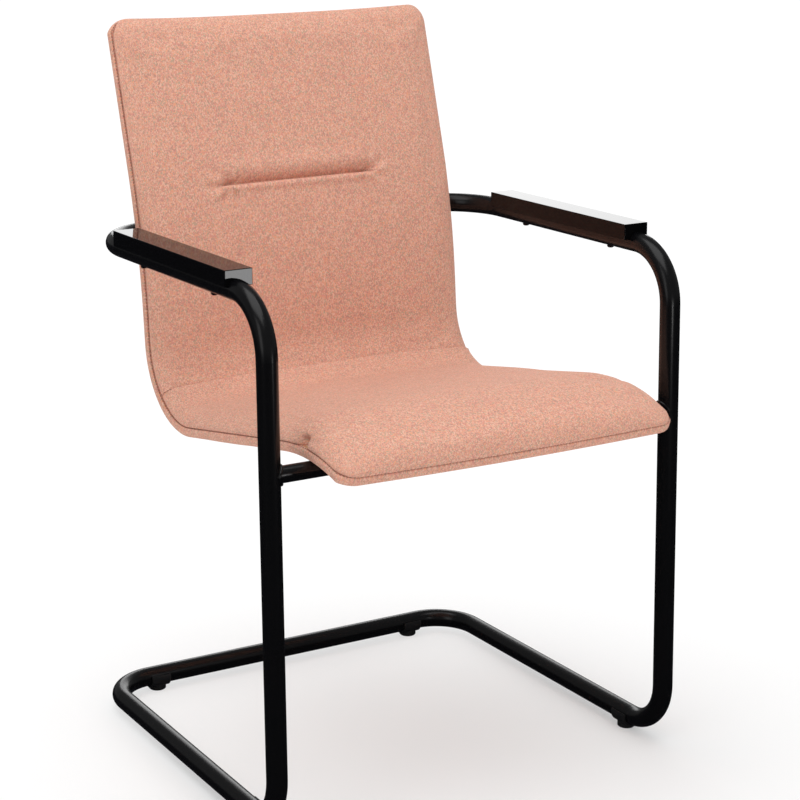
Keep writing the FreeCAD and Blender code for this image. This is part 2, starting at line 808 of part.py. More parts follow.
def saddle(label, axis_point, out, up, offset, x, length, tube_radius):
    """A block that hugs the tube on one side and follows the shell on the other."""
    width = number("saddle_width")
    top = shell_rear - offset
    base = V(-length / 2, -width / 2, 0)
    block = Part.makeBox(length, width, top + 6.0, base, Z_AXIS)
    upright = [edge for edge in block.Edges
               if abs(edge.tangentAt(edge.FirstParameter).z) > 0.9]
    block = block.makeFillet(4.0, upright)
    block.Placement = Placement(axis_point + V(x, 0, 0), turned_to(out))
    block = block.cut(cylinder(axis_point + V(x - length, 0, 0), X_AXIS,
                               tube_radius + 0.05, 2 * length))
    block = block.cut(slab(shell_rear, 60, wide, 60))
    hole = cylinder(axis_point + V(x, 0, 0), out, screw_hole_r, top + 10)
    if label.startswith("seat"):
        shift = number("seat_screw_spacing") / 2
        pair = [hole.translated(V(shift, 0, 0)), hole.translated(V(-shift, 0, 0))]
        hole = Part.makeCompound(pair)
    PARTS.append(solid_part(label, block.cut(hole)))


for side, word in ((-1, "right"), (1, "left")):
    saddle("seat_saddle_" + word, seat_axis_point, seat_out, seat_rear, seat_offset,
           side * number("seat_saddle_place"), number("seat_saddle_length"), bar_r)
    saddle("back_saddle_" + word, back_axis_point, back_out, back_up, back_offset,
           side * number("back_saddle_place"), number("back_saddle_length"), tube_r)


# Fasteners

def socket_screw(label, diameter, head_diameter, head_height, length):
    """A round-headed socket screw: head below the origin, shank up local Z."""
    body = new_body(label)
    sketch = new_sketch(body, "XZ_Plane", label + "_half")
    add_outline(sketch, [
        (ZERO, -head_height),
        (head_diameter * 0.32, -head_height),
        (head_diameter * 0.45, -head_height * 0.7),
        (head_diameter * 0.5, -head_height * 0.25),
        (head_diameter * 0.5, ZERO),
        (diameter * 0.5, ZERO),
        (diameter * 0.5, length - diameter * 0.15),
        (diameter * 0.38, length),
        (ZERO, length),
    ])
    add_revolution(body, sketch, label + "_turned")
    socket = new_sketch(body, "XY_Plane", label + "_socket", V(0, 0, -head_height.value))
    flat = diameter * (1 / 1.5)
    corners = []
    for k in range(6):
        turn = math.radians(60 * k + 30)
        radius = flat / (2 * math.cos(math.radians(30)))
        corners.append((radius * round(math.cos(turn), 12), radius * round(math.sin(turn), 12)))
    add_outline(socket, corners)
    add_pocket(body, socket, label + "_hexagon", head_height * 0.6, reverse=True)
    return body


def curved_washer(label, tube_radius):
    """A washer whose underside is flat and whose top side fits the tube."""
    radius = number("washer_diameter") / 2
    sink = tube_radius - math.sqrt(tube_radius ** 2 - radius ** 2)
    height = number("washer_thickness") + sink
    disc = Part.makeCylinder(radius, height, V(0, 0, 0), Z_AXIS)
    disc = disc.cut(Part.makeCylinder(screw_hole_r, height * 3, V(0, 0, -height), Z_AXIS))
    centre = number("washer_thickness") + tube_radius
    return disc.cut(cylinder(V(-20, 0, centre), X_AXIS, tube_radius, 40))


def tee_nut(label):
    """A tee nut: a round flange on the plywood and a barrel inside it."""
    body = new_body(label)
    sketch = new_sketch(body, "XZ_Plane", label + "_half")
    bore = size("screw_diameter") / 2 + 0.05
    barrel = size("nut_barrel_diameter") / 2 - 0.05
    flange = size("nut_flange_diameter") / 2 - 0.05
    depth = size("plywood_thickness") - 1.0
    add_outline(sketch, [
        (bore, -depth),
        (barrel, -depth),
        (barrel, ZERO),
        (flange, ZERO),
        (flange, size("nut_flange_thickness")),
        (bore, size("nut_flange_thickness")),
    ])
    add_revolution(body, sketch, label + "_turned")
    return body


def group(label, master, placements):
    """Copies of one fastener, kept together as separate solids of one sub-part."""
    shape = master.Shape if hasattr(master, "Shape") else master
    copies = []
    for item in placements:
        copy = shape.copy()
        copy.Placement = item.multiply(shape.Placement)
        copies.append(copy)
    PARTS.append(solid_part(label, Part.makeCompound(copies)))


washer = number("washer_thickness")
seat_head = seat_axis_point - seat_out * (bar_r + washer)
back_head = back_axis_point - back_out * (tube_r + washer)
seat_screw_length = screw_tip - seat_offset + bar_r + washer - 1.0
back_screw_length = screw_tip - back_offset + tube_r + washer - 1.0
arm_screw_length = 2 * tube_r + number("insert_length") - 1.0

seat_screw = socket_screw("seat_screw", size("screw_diameter"), size("screw_head_diameter"),
                          size("screw_head_height"), Size(seat_screw_length,
                                                          repr(seat_screw_length)))
back_screw = socket_screw("back_screw", size("screw_diameter"), size("screw_head_diameter"),
                          size("screw_head_height"), Size(back_screw_length,
                                                          repr(back_screw_length)))
arm_screw = socket_screw("arm_screw", size("armrest_screw_diameter"),
                         size("armrest_screw_diameter") * 1.8,
                         size("armrest_screw_diameter") * 0.55,
                         Size(arm_screw_length, repr(arm_screw_length)))
nut = tee_nut("tee_nut")
doc.recompute()

seat_turn = turned_to(seat_out)
back_turn = turned_to(back_out)
arm_turn = turned_to(arm_up)
group("seat_screws", seat_screw,
      [Placement(seat_head + V(x, 0, 0), seat_turn) for x in seat_screw_x])
group("seat_screw_washers", curved_washer("seat", bar_r),
      [Placement(seat_head + V(x, 0, 0), seat_turn) for x in seat_screw_x])
group("seat_tee_nuts", nut,
      [Placement(seat_point + V(x, 0, 0) + seat_out * ply_front, seat_turn)
       for x in seat_screw_x])
group("back_screws", back_screw,
      [Placement(back_head + V(x, 0, 0), back_turn) for x in back_screw_x])
group("back_screw_washers", curved_washer("back", tube_r),
      [Placement(back_head + V(x, 0, 0), back_turn) for x in back_screw_x])
group("back_tee_nuts", nut,
      [Placement(back_point + V(x, 0, 0) + back_out * ply_front, back_turn)
       for x in back_screw_x])

# Armrests with their threaded inserts and screws

armrest_low = size("tube_diameter") / 2 - size("groove_depth")
insert_r = size("insert_diameter") / 2
for side, word in ((-1, "right"), (1, "left")):
    label = "armrest_" + word
    body = new_body(label)
    block = new_sketch(body, "XZ_Plane", label + "_block")
    inset = -size("armrest_inset") * side
    low_x, high_x = inset - size("armrest_width") / 2, inset + size("armrest_width") / 2
    add_outline(block, [(low_x, armrest_low), (high_x, armrest_low),
                        (high_x, armrest_low + size("armrest_height")),
                        (low_x, armrest_low + size("armrest_height"))])
    pad = add_pad(body, block, label + "_pad", size("armrest_length"))
    pad.Reversed = True
    doc.recompute()
    rounded = body.newObject("PartDesign::Fillet", label + "_edges")
    rounded.Base = (pad, ["Edge%d" % (k + 1) for k in range(len(pad.Shape.Edges))])
    bind(rounded, "Radius", size("armrest_edge"))
    groove = new_sketch(body, "XZ_Plane", label + "_groove")
    add_circle(groove, ZERO, ZERO, size("tube_diameter") / 2 + size("groove_clearance"))
    add_pocket(body, groove, label + "_seat", size("armrest_length") * 2, both_sides=True)
    drill = new_sketch(body, "XY_Plane", label + "_drill")
    for place in ("armrest_screw_inset", None):
        along = size("armrest_screw_inset")
        if place is None:
            along = size("armrest_length") - along
        add_circle(drill, ZERO, along, insert_r + 0.05)
    add_pocket(body, drill, label + "_holes",
               size("tube_diameter") / 2 + size("insert_length") + 0.3, reverse=True)
    body.Placement = Placement(armrest_start + V(side * half_side, 0, 0),
                               Rotation(Z_AXIS, arm_up))
    PARTS.append(body)

insert = new_body("threaded_insert")
ring = new_sketch(insert, "XY_Plane", "threaded_insert_ring")
add_circle(ring, ZERO, ZERO, insert_r)
add_circle(ring, ZERO, ZERO, size("armrest_screw_diameter") / 2 + 0.05)
add_pad(insert, ring, "threaded_insert_pad", size("insert_length") - 0.5)
doc.recompute()
arm_points = [armrest_screw_point(side, place)
              for side in (-1, 1) for place in armrest_screw_places]
group("armrest_inserts", insert,
      [Placement(point + arm_up * (tube_r + 0.5), arm_turn) for point in arm_points])
group("armrest_screws", arm_screw,
      [Placement(point - arm_up * tube_r, arm_turn) for point in arm_points])


# Glides

def glide(label, point, along):
    """A glide that hugs the underside of the tube and stands on a round foot."""
    body = new_body(label)
    inner = size("tube_diameter") / 2 + size("glide_clearance")
    outer = inner + size("glide_wall")
    cup = new_sketch(body, "YZ_Plane", label + "_cup")
    wrap = math.radians(number("glide_wrap"))

    def on_ring(radius, turn):
        return V(radius * math.sin(turn), -radius * math.cos(turn), 0)

    arcs = []
    for radius in (outer, inner):
        arc = Part.Arc(on_ring(radius.value, -wrap), on_ring(radius.value, 0),
                       on_ring(radius.value, wrap))
        index = cup.addGeometry(arc, False)
        cup.addConstraint(Sketcher.Constraint("Coincident", index, 3, -1, 1))
        place = cup.addConstraint(Sketcher.Constraint("Radius", index, radius.value))
        cup.setExpression("Constraints[%d]" % place, radius.text)
        arcs.append(index)
    for end in (1, 2):
        first = cup.getPoint(arcs[0], end)
        second = cup.getPoint(arcs[1], end)
        index = cup.addGeometry(Part.LineSegment(first, second), False)
        cup.addConstraint(Sketcher.Constraint("Coincident", index, 1, arcs[0], end))
        cup.addConstraint(Sketcher.Constraint("Coincident", index, 2, arcs[1], end))
    add_pad(body, cup, label + "_shell", size("glide_length"), both_sides=True)
    foot = new_sketch(body, "XY_Plane", label + "_foot", V(0, 0, -floor_axis))
    add_circle(foot, ZERO, ZERO, size("glide_foot_diameter") / 2)
    add_pad(body, foot, label + "_foot_pad", size("floor_gap") + size("tube_diameter") / 4)
    bore = new_sketch(body, "YZ_Plane", label + "_bore")
    add_circle(bore, ZERO, ZERO, inner)
    add_pocket(body, bore, label + "_bore_cut", size("glide_length") * 2, both_sides=True)
    stud = new_sketch(body, "XY_Plane", label + "_stud", V(0, 0, -tube_r - 1.0))
    add_circle(stud, ZERO, ZERO, size("glide_stud_diameter") / 2)
    peg = add_pad(body, stud, label + "_stud_pad", size("tube_wall") + 4.0)
    doc.recompute()
    rims = [k + 1 for k, edge in enumerate(body.Shape.Edges)
            if abs(edge.BoundBox.ZMax + floor_axis) < 1e-4]
    chamfer = body.newObject("PartDesign::Chamfer", label + "_rim")
    chamfer.Base = (peg, ["Edge%d" % k for k in rims])
    chamfer.Size = 1.2
    body.Placement = Placement(point, Rotation(X_AXIS, along))
    PARTS.append(body)


for name, point, along in glide_places:
    glide(name, point, along)

# Checks, then one file for each sub-part

doc.recompute()
for item in doc.Objects:
    if "Invalid" in item.State or "Error" in item.State:
        raise ValueError("%s failed: %s" % (item.Label, item.State))
for item in PARTS:
    if item.Shape.isNull() or not item.Shape.isValid() or not item.Shape.Solids:
        raise ValueError("%s has no valid solid" % item.Label)

os.makedirs("parts", exist_ok=True)
for item in PARTS:
    item.Shape.exportStep("parts/%s.step" % item.Label)
    box = item.Shape.BoundBox
    print("%-22s solids %d  volume %9.1f cm3  x %7.1f %7.1f  y %7.1f %7.1f  z %6.1f %6.1f" % (
        item.Label, len(item.Shape.Solids), item.Shape.Volume / 1000,
        box.XMin, box.XMax, box.YMin, box.YMax, box.ZMin, box.ZMax))
print("parts", len(PARTS), "back bar", back_bar_y, back_bar_z, "crossbar", crossbar_y)
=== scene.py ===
# %% [markdown]
# # Sled base visitor chair
# A bent black tube frame carries a one-piece plywood shell in salmon wool. The frame, the
# glides, the screws and the armrests come from the construction model and keep their place.
# The upholstery is made here: two stuffed pads in front, a taut skin behind and the thread
# in the seams between them. Places on the cloth are in millimetres, the scene is in metres.

# %% The construction model
import math

import bpy
import numpy as np
from mathutils import Matrix, Vector


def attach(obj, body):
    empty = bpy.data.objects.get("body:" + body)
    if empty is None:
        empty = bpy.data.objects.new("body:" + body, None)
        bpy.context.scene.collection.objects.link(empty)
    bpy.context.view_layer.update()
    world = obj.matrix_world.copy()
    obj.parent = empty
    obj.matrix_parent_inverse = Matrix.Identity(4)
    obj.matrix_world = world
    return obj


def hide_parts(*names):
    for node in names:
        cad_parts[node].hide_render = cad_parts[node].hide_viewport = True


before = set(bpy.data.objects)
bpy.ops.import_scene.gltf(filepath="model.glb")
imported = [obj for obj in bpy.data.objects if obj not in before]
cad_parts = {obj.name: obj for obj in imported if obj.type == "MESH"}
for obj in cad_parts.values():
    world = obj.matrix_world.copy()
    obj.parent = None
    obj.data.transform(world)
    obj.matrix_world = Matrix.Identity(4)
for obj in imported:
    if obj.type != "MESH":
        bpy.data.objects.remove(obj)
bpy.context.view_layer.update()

# %% [markdown]
# ## Small tools
# Four jobs come back in every step: turning a written colour into the renderer's linear
# numbers, adding a shader node with its links, making a mesh object from lists of points
# and faces, and turning a modifier's result into plain mesh.

# %% Tools
MM = 0.001


def colour(text):
    """The linear colour of an sRGB hex colour."""
    parts = [int(text[k:k + 2], 16) / 255 for k in (0, 2, 4)]
    linear = [c / 12.92 if c <= 0.04045 else ((c + 0.055) / 1.055) ** 2.4 for c in parts]
    return (*linear, 1.0)


def node(tree, kind, inputs=None, **settings):
    """Adds a node. An input is a number, a colour or the socket it is linked to."""
    made = tree.nodes.new(kind)
    for name, value in settings.items():
        setattr(made, name, value)
    for name, value in (inputs or {}).items():
        if isinstance(value, bpy.types.NodeSocket):
            tree.links.new(value, made.inputs[name])
        else:
            made.inputs[name].default_value = value
    return made


def mesh_object(name, points, faces, smooth=True):
    """A mesh object from points in metres and faces as lists of their numbers."""
    mesh = bpy.data.meshes.new(name)
    mesh.from_pydata([tuple(p) for p in points], [], [tuple(f) for f in faces])
    mesh.validate()
    mesh.polygons.foreach_set("use_smooth", [smooth] * len(mesh.polygons))
    made = bpy.data.objects.new(name, mesh)
    bpy.context.scene.collection.objects.link(made)
    return made


def settle(thing):
    """Replaces an object's mesh by what its modifiers make of it."""
    graph = bpy.context.evaluated_depsgraph_get()
    done = bpy.data.meshes.new_from_object(thing.evaluated_get(graph))
    thing.modifiers.clear()
    thing.data = done


print("tools ready; mid grey is", round(colour("808080")[0], 3), "in linear light")

# %% [markdown]
# ## Camera
# The chair is seen from the sitter's right and a little above, through a long lens that
# keeps the legs nearly parallel. A camera could be aimed at a target, but angles and a
# place are plainer here: three angles turn it and one point sets where it stands.

# %% Camera
AZIMUTH, ELEVATION, ROLL = -31.5082, 15.6255, 0.60995
STAND = Vector((-1.395169, -2.315402, 1.194922))
FOCAL_LENGTH, SENSOR_WIDTH = 101.19, 36.0

turn, rise, roll = (math.radians(a) for a in (AZIMUTH, ELEVATION, ROLL))
back = Vector((math.sin(turn) * math.cos(rise), -math.cos(turn) * math.cos(rise),
               math.sin(rise)))
level = Vector((math.cos(turn), math.sin(turn), 0.0))
upright = back.cross(level)
across = math.cos(roll) * level + math.sin(roll) * upright
upward = math.cos(roll) * upright - math.sin(roll) * level

lens = bpy.data.cameras.new("camera")
lens.sensor_width = SENSOR_WIDTH
lens.lens = FOCAL_LENGTH
lens.clip_end = 60.0
camera = bpy.data.objects.new("camera", lens)
camera.matrix_world = Matrix((
    (across.x, upward.x, back.x, STAND.x),
    (across.y, upward.y, back.y, STAND.y),
    (across.z, upward.z, back.z, STAND.z),
    (0.0, 0.0, 0.0, 1.0),
))
bpy.context.scene.collection.objects.link(camera)
bpy.context.scene.camera = camera
print("camera", [round(v, 3) for v in camera.matrix_world.translation], "lens", lens.lens)

# %% [markdown]
# ## Stage
# The chair stands on white paper with a soft shadow between the runners. A lit floor alone
# would come out grey, and more light would bleach the chair. So the camera sees a floor
# that changes to plain white away from the chair, while near it the lit paper shows its
# shadow. Glossy surfaces see a dark floor, which keeps the black tubes black.

# %% Floor
SPREAD = 20.0
SHADOW_CENTRE_BACK = (0.0, 0.25, 0.0)
SHADOW_FROM, SHADOW_TO, SHADOW_WHITE = 0.1, 1.05, 0.25

floor = mesh_object("floor", [(-SPREAD, -SPREAD, 0), (SPREAD, -SPREAD, 0),
                              (SPREAD, SPREAD, 0), (-SPREAD, SPREAD, 0)],
                    [(0, 1, 2, 3)], smooth=False)
paper = bpy.data.materials.new("pale_paper_floor")
paper.use_nodes = True
tree = paper.node_tree
tree.nodes.clear()
matt = node(tree, "ShaderNodeBsdfDiffuse", {"Color": colour("F4F4F4")})
glow = node(tree, "ShaderNodeEmission", {"Color": colour("FFFFFF"), "Strength": 1.06})
dark = node(tree, "ShaderNodeEmission", {"Color": colour("26262A"), "Strength": 1.0})
path = node(tree, "ShaderNodeLightPath")
spot = node(tree, "ShaderNodeTexCoord").outputs["Object"]
from_centre = node(tree, "ShaderNodeVectorMath", {0: spot, 1: SHADOW_CENTRE_BACK},
                   operation="ADD").outputs[0]
far = node(tree, "ShaderNodeVectorMath", {0: from_centre}, operation="LENGTH").outputs["Value"]
fade = node(tree, "ShaderNodeMapRange",
            {"Value": far, "From Min": SHADOW_FROM, "From Max": SHADOW_TO,
             "To Min": SHADOW_WHITE, "To Max": 1.0},
            interpolation_type="SMOOTHSTEP").outputs["Result"]
share = node(tree, "ShaderNodeMath", {0: path.outputs["Is Camera Ray"], 1: fade},
             operation="MULTIPLY")
both = node(tree, "ShaderNodeMixShader", {0: share.outputs[0], 1: matt.outputs[0],
                                          2: glow.outputs[0]})
seen = node(tree, "ShaderNodeMixShader", {0: path.outputs["Is Glossy Ray"],
                                          1: both.outputs[0], 2: dark.outputs[0]})
node(tree, "ShaderNodeOutputMaterial", {"Surface": seen.outputs[0]})
floor.data.materials.append(paper)
print("floor", round(2 * SPREAD), "m wide, white from", SHADOW_TO, "m out")

# %% World
LIT, SEEN, REFLECTED = 0.64, 1.0, 0.18

world = bpy.data.worlds.new("white_studio")
bpy.context.scene.world = world
world.use_nodes = True
tree = world.node_tree
tree.nodes.clear()
path = node(tree, "ShaderNodeLightPath")
soft, white, dim = (node(tree, "ShaderNodeBackground", {"Color": colour("FFFFFF"),
                                                        "Strength": strength})
                    for strength in (LIT, SEEN, REFLECTED))
both = node(tree, "ShaderNodeMixShader", {0: path.outputs["Is Camera Ray"],
                                          1: soft.outputs[0], 2: white.outputs[0]})
seen = node(tree, "ShaderNodeMixShader", {0: path.outputs["Is Glossy Ray"],
                                          1: both.outputs[0], 2: dim.outputs[0]})
node(tree, "ShaderNodeOutputWorld", {"Surface": seen.outputs[0]})
bpy.context.scene.view_settings.view_transform = "Standard"
print("world lights at", LIT, "and is seen at", SEEN)

# %% [markdown]
# ## Lamps
# Four soft boxes do what the studio did. One overhead models the cloth, one at the left
# draws the light bands down the tubes, one behind whitens the top of the far armrest, and
# a small card brightens the front end of the near one.


# %% Lamps
def softbox(name, place, aim, width, height, power):
    """A soft rectangular lamp that the camera doesn't see."""
    lamp = bpy.data.lights.new(name, "AREA")
    lamp.shape = "RECTANGLE"
    lamp.size, lamp.size_y = width, height
    lamp.energy = power
    made = bpy.data.objects.new(name, lamp)
    made.location = place
    made.rotation_mode = "QUATERNION"
    made.rotation_quaternion = (Vector(aim) - Vector(place)).to_track_quat("-Z", "Y")
    made.visible_camera = False
    bpy.context.scene.collection.objects.link(made)


softbox("overhead", place=(-0.4, -0.3, 3.0), aim=(0, 0, 0.4), width=2.6, height=2.6, power=40)
softbox("left_front", place=(-2.9, -1.2, 1.5), aim=(0, 0, 0.5), width=1.2, height=2.2,
        power=9)
softbox("behind", place=(1.9, 3.2, 1.3), aim=(0.2, 0, 0.66), width=2.6, height=1.4, power=27)
softbox("small_card", place=(0.1725, -1.02, 0.478), aim=(-0.275, -0.14, 0.652), width=0.11,
        height=0.09, power=0.55)
print("soft boxes:", len(bpy.data.lights))

# %% [markdown]
# ## Hard materials
# Each material is named for what it is made of and how its surface was made. All of them
# share one recipe: a plain colour, a noise of the right size in millimetres for the
# surface's unevenness, and the same noise for how its gloss wanders.


# %% How a hard material is built
def new_material(name):
    """An empty material with its node tree and the object's own coordinates."""
    made = bpy.data.materials.new(name)
    made.use_nodes = True
    made.node_tree.nodes.clear()
    place = node(made.node_tree, "ShaderNodeTexCoord").outputs["Object"]
    return made, made.node_tree, place


def close(tree, inputs):
    """Ends a material in one surface shader."""
    surface = node(tree, "ShaderNodeBsdfPrincipled", inputs)
    node(tree, "ShaderNodeOutputMaterial", {"Surface": surface.outputs[0]})


def uneven(tree, place, grain, depth, detail=3.0):
    """A noise and the normal it roughens; grain and depth in mm."""
    noise = node(tree, "ShaderNodeTexNoise", {"Vector": place, "Scale": 1 / (grain * MM),
                                              "Detail": detail})
    bump = node(tree, "ShaderNodeBump", {"Height": noise.outputs["Fac"], "Strength": 1.0,
                                         "Distance": depth * MM})
    return noise.outputs["Fac"], bump.outputs["Normal"]


def spread_between(tree, value, least, most):
    """Stretches a value from 0 to 1 over the range from least to most."""
    scaled = node(tree, "ShaderNodeMapRange", {"Value": value, "To Min": least,
                                               "To Max": most})
    return scaled.outputs["Result"]


print("recipe for hard materials ready")

# %% Paint, lacquer and nylon
# Powder coat over steel: the orange peel of the cured powder breaks up the reflections.
powder_coat, tree, place = new_material("black_powder_coated_steel_tube")
peel, normal = uneven(tree, place, grain=1.6, depth=0.012)
close(tree, {"Base Color": colour("08080A"), "Normal": normal,
             "Roughness": spread_between(tree, peel, 0.2, 0.3), "IOR": 1.5,
             "Specular IOR Level": 0.34})

# Polished black lacquer over a moulded block: mirror gloss with a faint long wave in it.
lacquer, tree, place = new_material("polished_black_lacquer")
wave, normal = uneven(tree, place, grain=60, depth=0.03, detail=1.0)
close(tree, {"Base Color": colour("060607"), "Normal": normal, "IOR": 1.28,
             "Specular IOR Level": 0.42,
             "Roughness": spread_between(tree, wave, 0.02, 0.05)})

# Moulded nylon: a fine satin grain from the mould.
nylon, tree, place = new_material("black_moulded_nylon")
grain, normal = uneven(tree, place, grain=0.5, depth=0.02)
close(tree, {"Base Color": colour("171718"), "Normal": normal,
             "Roughness": spread_between(tree, grain, 0.4, 0.6)})
print("materials so far:", [m.name for m in bpy.data.materials])

# %% Metals
# Black zinc plating: a dark metal with a dull sheen, cloudy from the bath.
black_zinc, tree, place = new_material("black_zinc_plated_steel")
cloud, normal = uneven(tree, place, grain=4, depth=0.01)
close(tree, {"Base Color": colour("2E2E33"), "Metallic": 1.0, "Normal": normal,
             "Roughness": spread_between(tree, cloud, 0.25, 0.45)})

# Bright zinc plating: silvery with a cold spangle.
bright_zinc, tree, place = new_material("bright_zinc_plated_steel")
cloud, normal = uneven(tree, place, grain=3, depth=0.01)
close(tree, {"Base Color": colour("C9CCD0"), "Metallic": 1.0, "Normal": normal,
             "Roughness": spread_between(tree, cloud, 0.2, 0.4)})

# Turned brass: warm metal, unevenly dulled by fine tool marks.
brass, tree, place = new_material("turned_brass")
marks, normal = uneven(tree, place, grain=0.4, depth=0.01)
close(tree, {"Base Color": colour("CFAA62"), "Metallic": 1.0, "Normal": normal,
             "Roughness": spread_between(tree, marks, 0.2, 0.35)})

# Drawn steel left bare inside the tube: grey metal, dull and slightly scratched.
bare_steel, tree, place = new_material("bare_drawn_steel")
marks, normal = uneven(tree, place, grain=0.8, depth=0.01)
close(tree, {"Base Color": colour("9A9A9C"), "Metallic": 1.0, "Normal": normal,
             "Roughness": spread_between(tree, marks, 0.35, 0.5)})
print("metals: black zinc, bright zinc, brass, bare steel")

# %% Plywood and foam
# Bent beech plywood: pale brown veneer, its grain drawn out along the shell.
plywood, tree, place = new_material("bent_beech_plywood")
long = node(tree, "ShaderNodeMapping", {"Vector": place, "Scale": (1.0, 0.06, 0.06)})
figure, normal = uneven(tree, long.outputs[0], grain=2.5, depth=0.05)
veneer = node(tree, "ShaderNodeMix", {"Factor": figure, 6: colour("B98A5A"),
                                      7: colour("DDB98A")}, data_type="RGBA")
close(tree, {"Base Color": veneer.outputs[2], "Normal": normal, "Roughness": 0.55})

# Cut polyurethane foam: cream, with open cells.
foam, tree, place = new_material("cut_polyurethane_foam")
cells, normal = uneven(tree, place, grain=0.8, depth=0.2)
close(tree, {"Base Color": colour("E8DFC0"), "Normal": normal,
             "Roughness": spread_between(tree, cells, 0.8, 1.0)})
print("materials so far:", len(bpy.data.materials))

# %% [markdown]
# ## Wool
# Melange wool is spun from fibres dyed in several colours, so the cloth is salmon from
# afar and speckled from near. A picture of cloth could be laid on, but a pattern of real
# sizes stays sharp at any distance: a plain weave and fuzz raise the surface, and cells a
# millimetre across take one fibre colour each. The pattern lies in the sheet's own
# coordinates, in metres across and along the cloth, so it follows every curve. The real
# threads are finer; they are drawn as coarse as the picture can show.

# %% Weave
THREAD_PITCH, SLUB, FUZZ = 1.3, 9, 0.9
WANDER = 0.0009
# A wave texture of scale 1 repeats after this length.
WAVE_LENGTH = 0.314159

wool, tree, _ = new_material("salmon_melange_wool")
cloth_uv = node(tree, "ShaderNodeUVMap", uv_map="cloth").outputs[0]
slub = node(tree, "ShaderNodeTexNoise", {"Vector": cloth_uv, "Scale": 1 / (SLUB * MM),
                                         "Detail": 2.0})
bent = node(tree, "ShaderNodeVectorMath", {0: slub.outputs["Color"],
                                           1: (WANDER, WANDER, 0.0)}, operation="MULTIPLY")
weave_at = node(tree, "ShaderNodeVectorMath", {0: cloth_uv, 1: bent.outputs[0]},
                operation="ADD").outputs[0]
threads = [node(tree, "ShaderNodeTexWave",
                {"Vector": weave_at, "Scale": WAVE_LENGTH / (THREAD_PITCH * MM)},
                wave_type="BANDS", bands_direction=axis).outputs["Fac"] for axis in "XY"]
checks = node(tree, "ShaderNodeTexChecker", {"Vector": weave_at,
                                             "Scale": 1 / (THREAD_PITCH * MM)})
woven = node(tree, "ShaderNodeMix", {"Factor": checks.outputs["Fac"], 2: threads[0],
                                     3: threads[1]})
fuzz = node(tree, "ShaderNodeTexNoise", {"Vector": cloth_uv, "Scale": 1 / (FUZZ * MM),
                                         "Detail": 4.0})
relief = node(tree, "ShaderNodeMix", {"Factor": 0.55, 2: woven.outputs[0],
                                      3: fuzz.outputs["Fac"]})
cloth_normal = node(tree, "ShaderNodeBump", {"Height": relief.outputs[0], "Strength": 0.6,
                                             "Distance": 0.35 * MM}).outputs[0]
print("weave of", THREAD_PITCH, "mm threads")

# %% Melange
FLECK, PATCH = 1.2, 35
# Each fibre colour with the share of flecks that come before it.
FIBRES = [(0.0, "BC877C"), (0.13, "EAA37F"), (0.28, "DFA791"), (0.52, "EDC0A8"),
          (0.72, "DB9084"), (0.88, "B7A58B")]

long_flecks = node(tree, "ShaderNodeMapping", {"Vector": weave_at,
                                               "Scale": (1.0, 0.75, 1.0)}).outputs[0]
flecks = node(tree, "ShaderNodeTexVoronoi", {"Vector": long_flecks,
                                             "Scale": 1 / (FLECK * MM)})
pick = node(tree, "ShaderNodeSeparateColor", {"Color": flecks.outputs["Color"]})
palette = node(tree, "ShaderNodeValToRGB", {"Fac": pick.outputs[0]})
palette.color_ramp.interpolation = "CONSTANT"
stops = palette.color_ramp.elements
stops[0].color = colour(FIBRES[0][1])
stops[1].position, stops[1].color = FIBRES[1][0], colour(FIBRES[1][1])
for begins, text in FIBRES[2:]:
    stops.new(begins).color = colour(text)
dyed = node(tree, "ShaderNodeMix", {"Factor": 0.72, 6: colour("E0A892"),
                                    7: palette.outputs[0]}, data_type="RGBA")
patch = node(tree, "ShaderNodeTexNoise", {"Vector": cloth_uv, "Scale": 1 / (PATCH * MM),
                                          "Detail": 3.0})
shade = spread_between(tree, patch.outputs["Fac"], 0.93, 1.05)
dyed = node(tree, "ShaderNodeVectorMath", {0: dyed.outputs[2], "Scale": shade},
            operation="SCALE")
close(tree, {"Base Color": dyed.outputs[0], "Normal": cloth_normal, "Roughness": 0.9,
             "Specular IOR Level": 0.2, "Sheen Weight": 0.18, "Sheen Roughness": 0.5,
             "Sheen Tint": colour("F3D9CF")})
print("wool of", len(FIBRES), "fibre colours")

# %% Sewing thread
# Twisted polyester, much darker than the cloth as painted shade: the thin brown line it draws
# in each seam stands for the shade in the seam's crevice.
thread, tree, place = new_material("brown_polyester_thread")
twist, normal = uneven(tree, place, grain=0.35, depth=0.05)
close(tree, {"Base Color": colour("7A4E44"), "Normal": normal,
             "Roughness": spread_between(tree, twist, 0.5, 0.7)})
print("thread ready")

# %% [markdown]
# ## Finishes of the construction model
# The frame's parts keep their mesh and only get a material. A part's name says what it is,
# so one table of words is enough; where two words fit, the later one holds.

# %% Materials on the construction model
FINISH = {
    "frame_tube": powder_coat, "crossbar": powder_coat, "weld_sleeve": bare_steel,
    "plywood": plywood, "foam": foam, "cover": wool, "saddle": nylon, "glide": nylon,
    "screws": black_zinc, "washers": black_zinc, "tee_nuts": bright_zinc,
    "inserts": brass, "armrest_right": lacquer, "armrest_left": lacquer,
}
for name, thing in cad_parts.items():
    finish = [made for word, made in FINISH.items() if word in name][-1]
    thing.data.materials.clear()
    thing.data.materials.append(finish)
print("finishes on", len(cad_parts), "nodes")

# %% [markdown]
# ## The line the upholstery follows
# The shell is one long sheet bent along a line: front edge, brow, seat, bend, lumbar curve
# and upper back. Flats and arcs that run into one another without a kink make that line,
# so it is written as lengths and headings and added up in fine steps. A place on the cloth
# is (x, s, n): across, along that line from the front edge, and out from it to the sitter.

# %% Profile
# How far each stretch leans, in degrees from level or, for the back, from upright.
DROP, PITCH, LOWER, UPPER = 18.4, 10.9, 5.7, 17.6
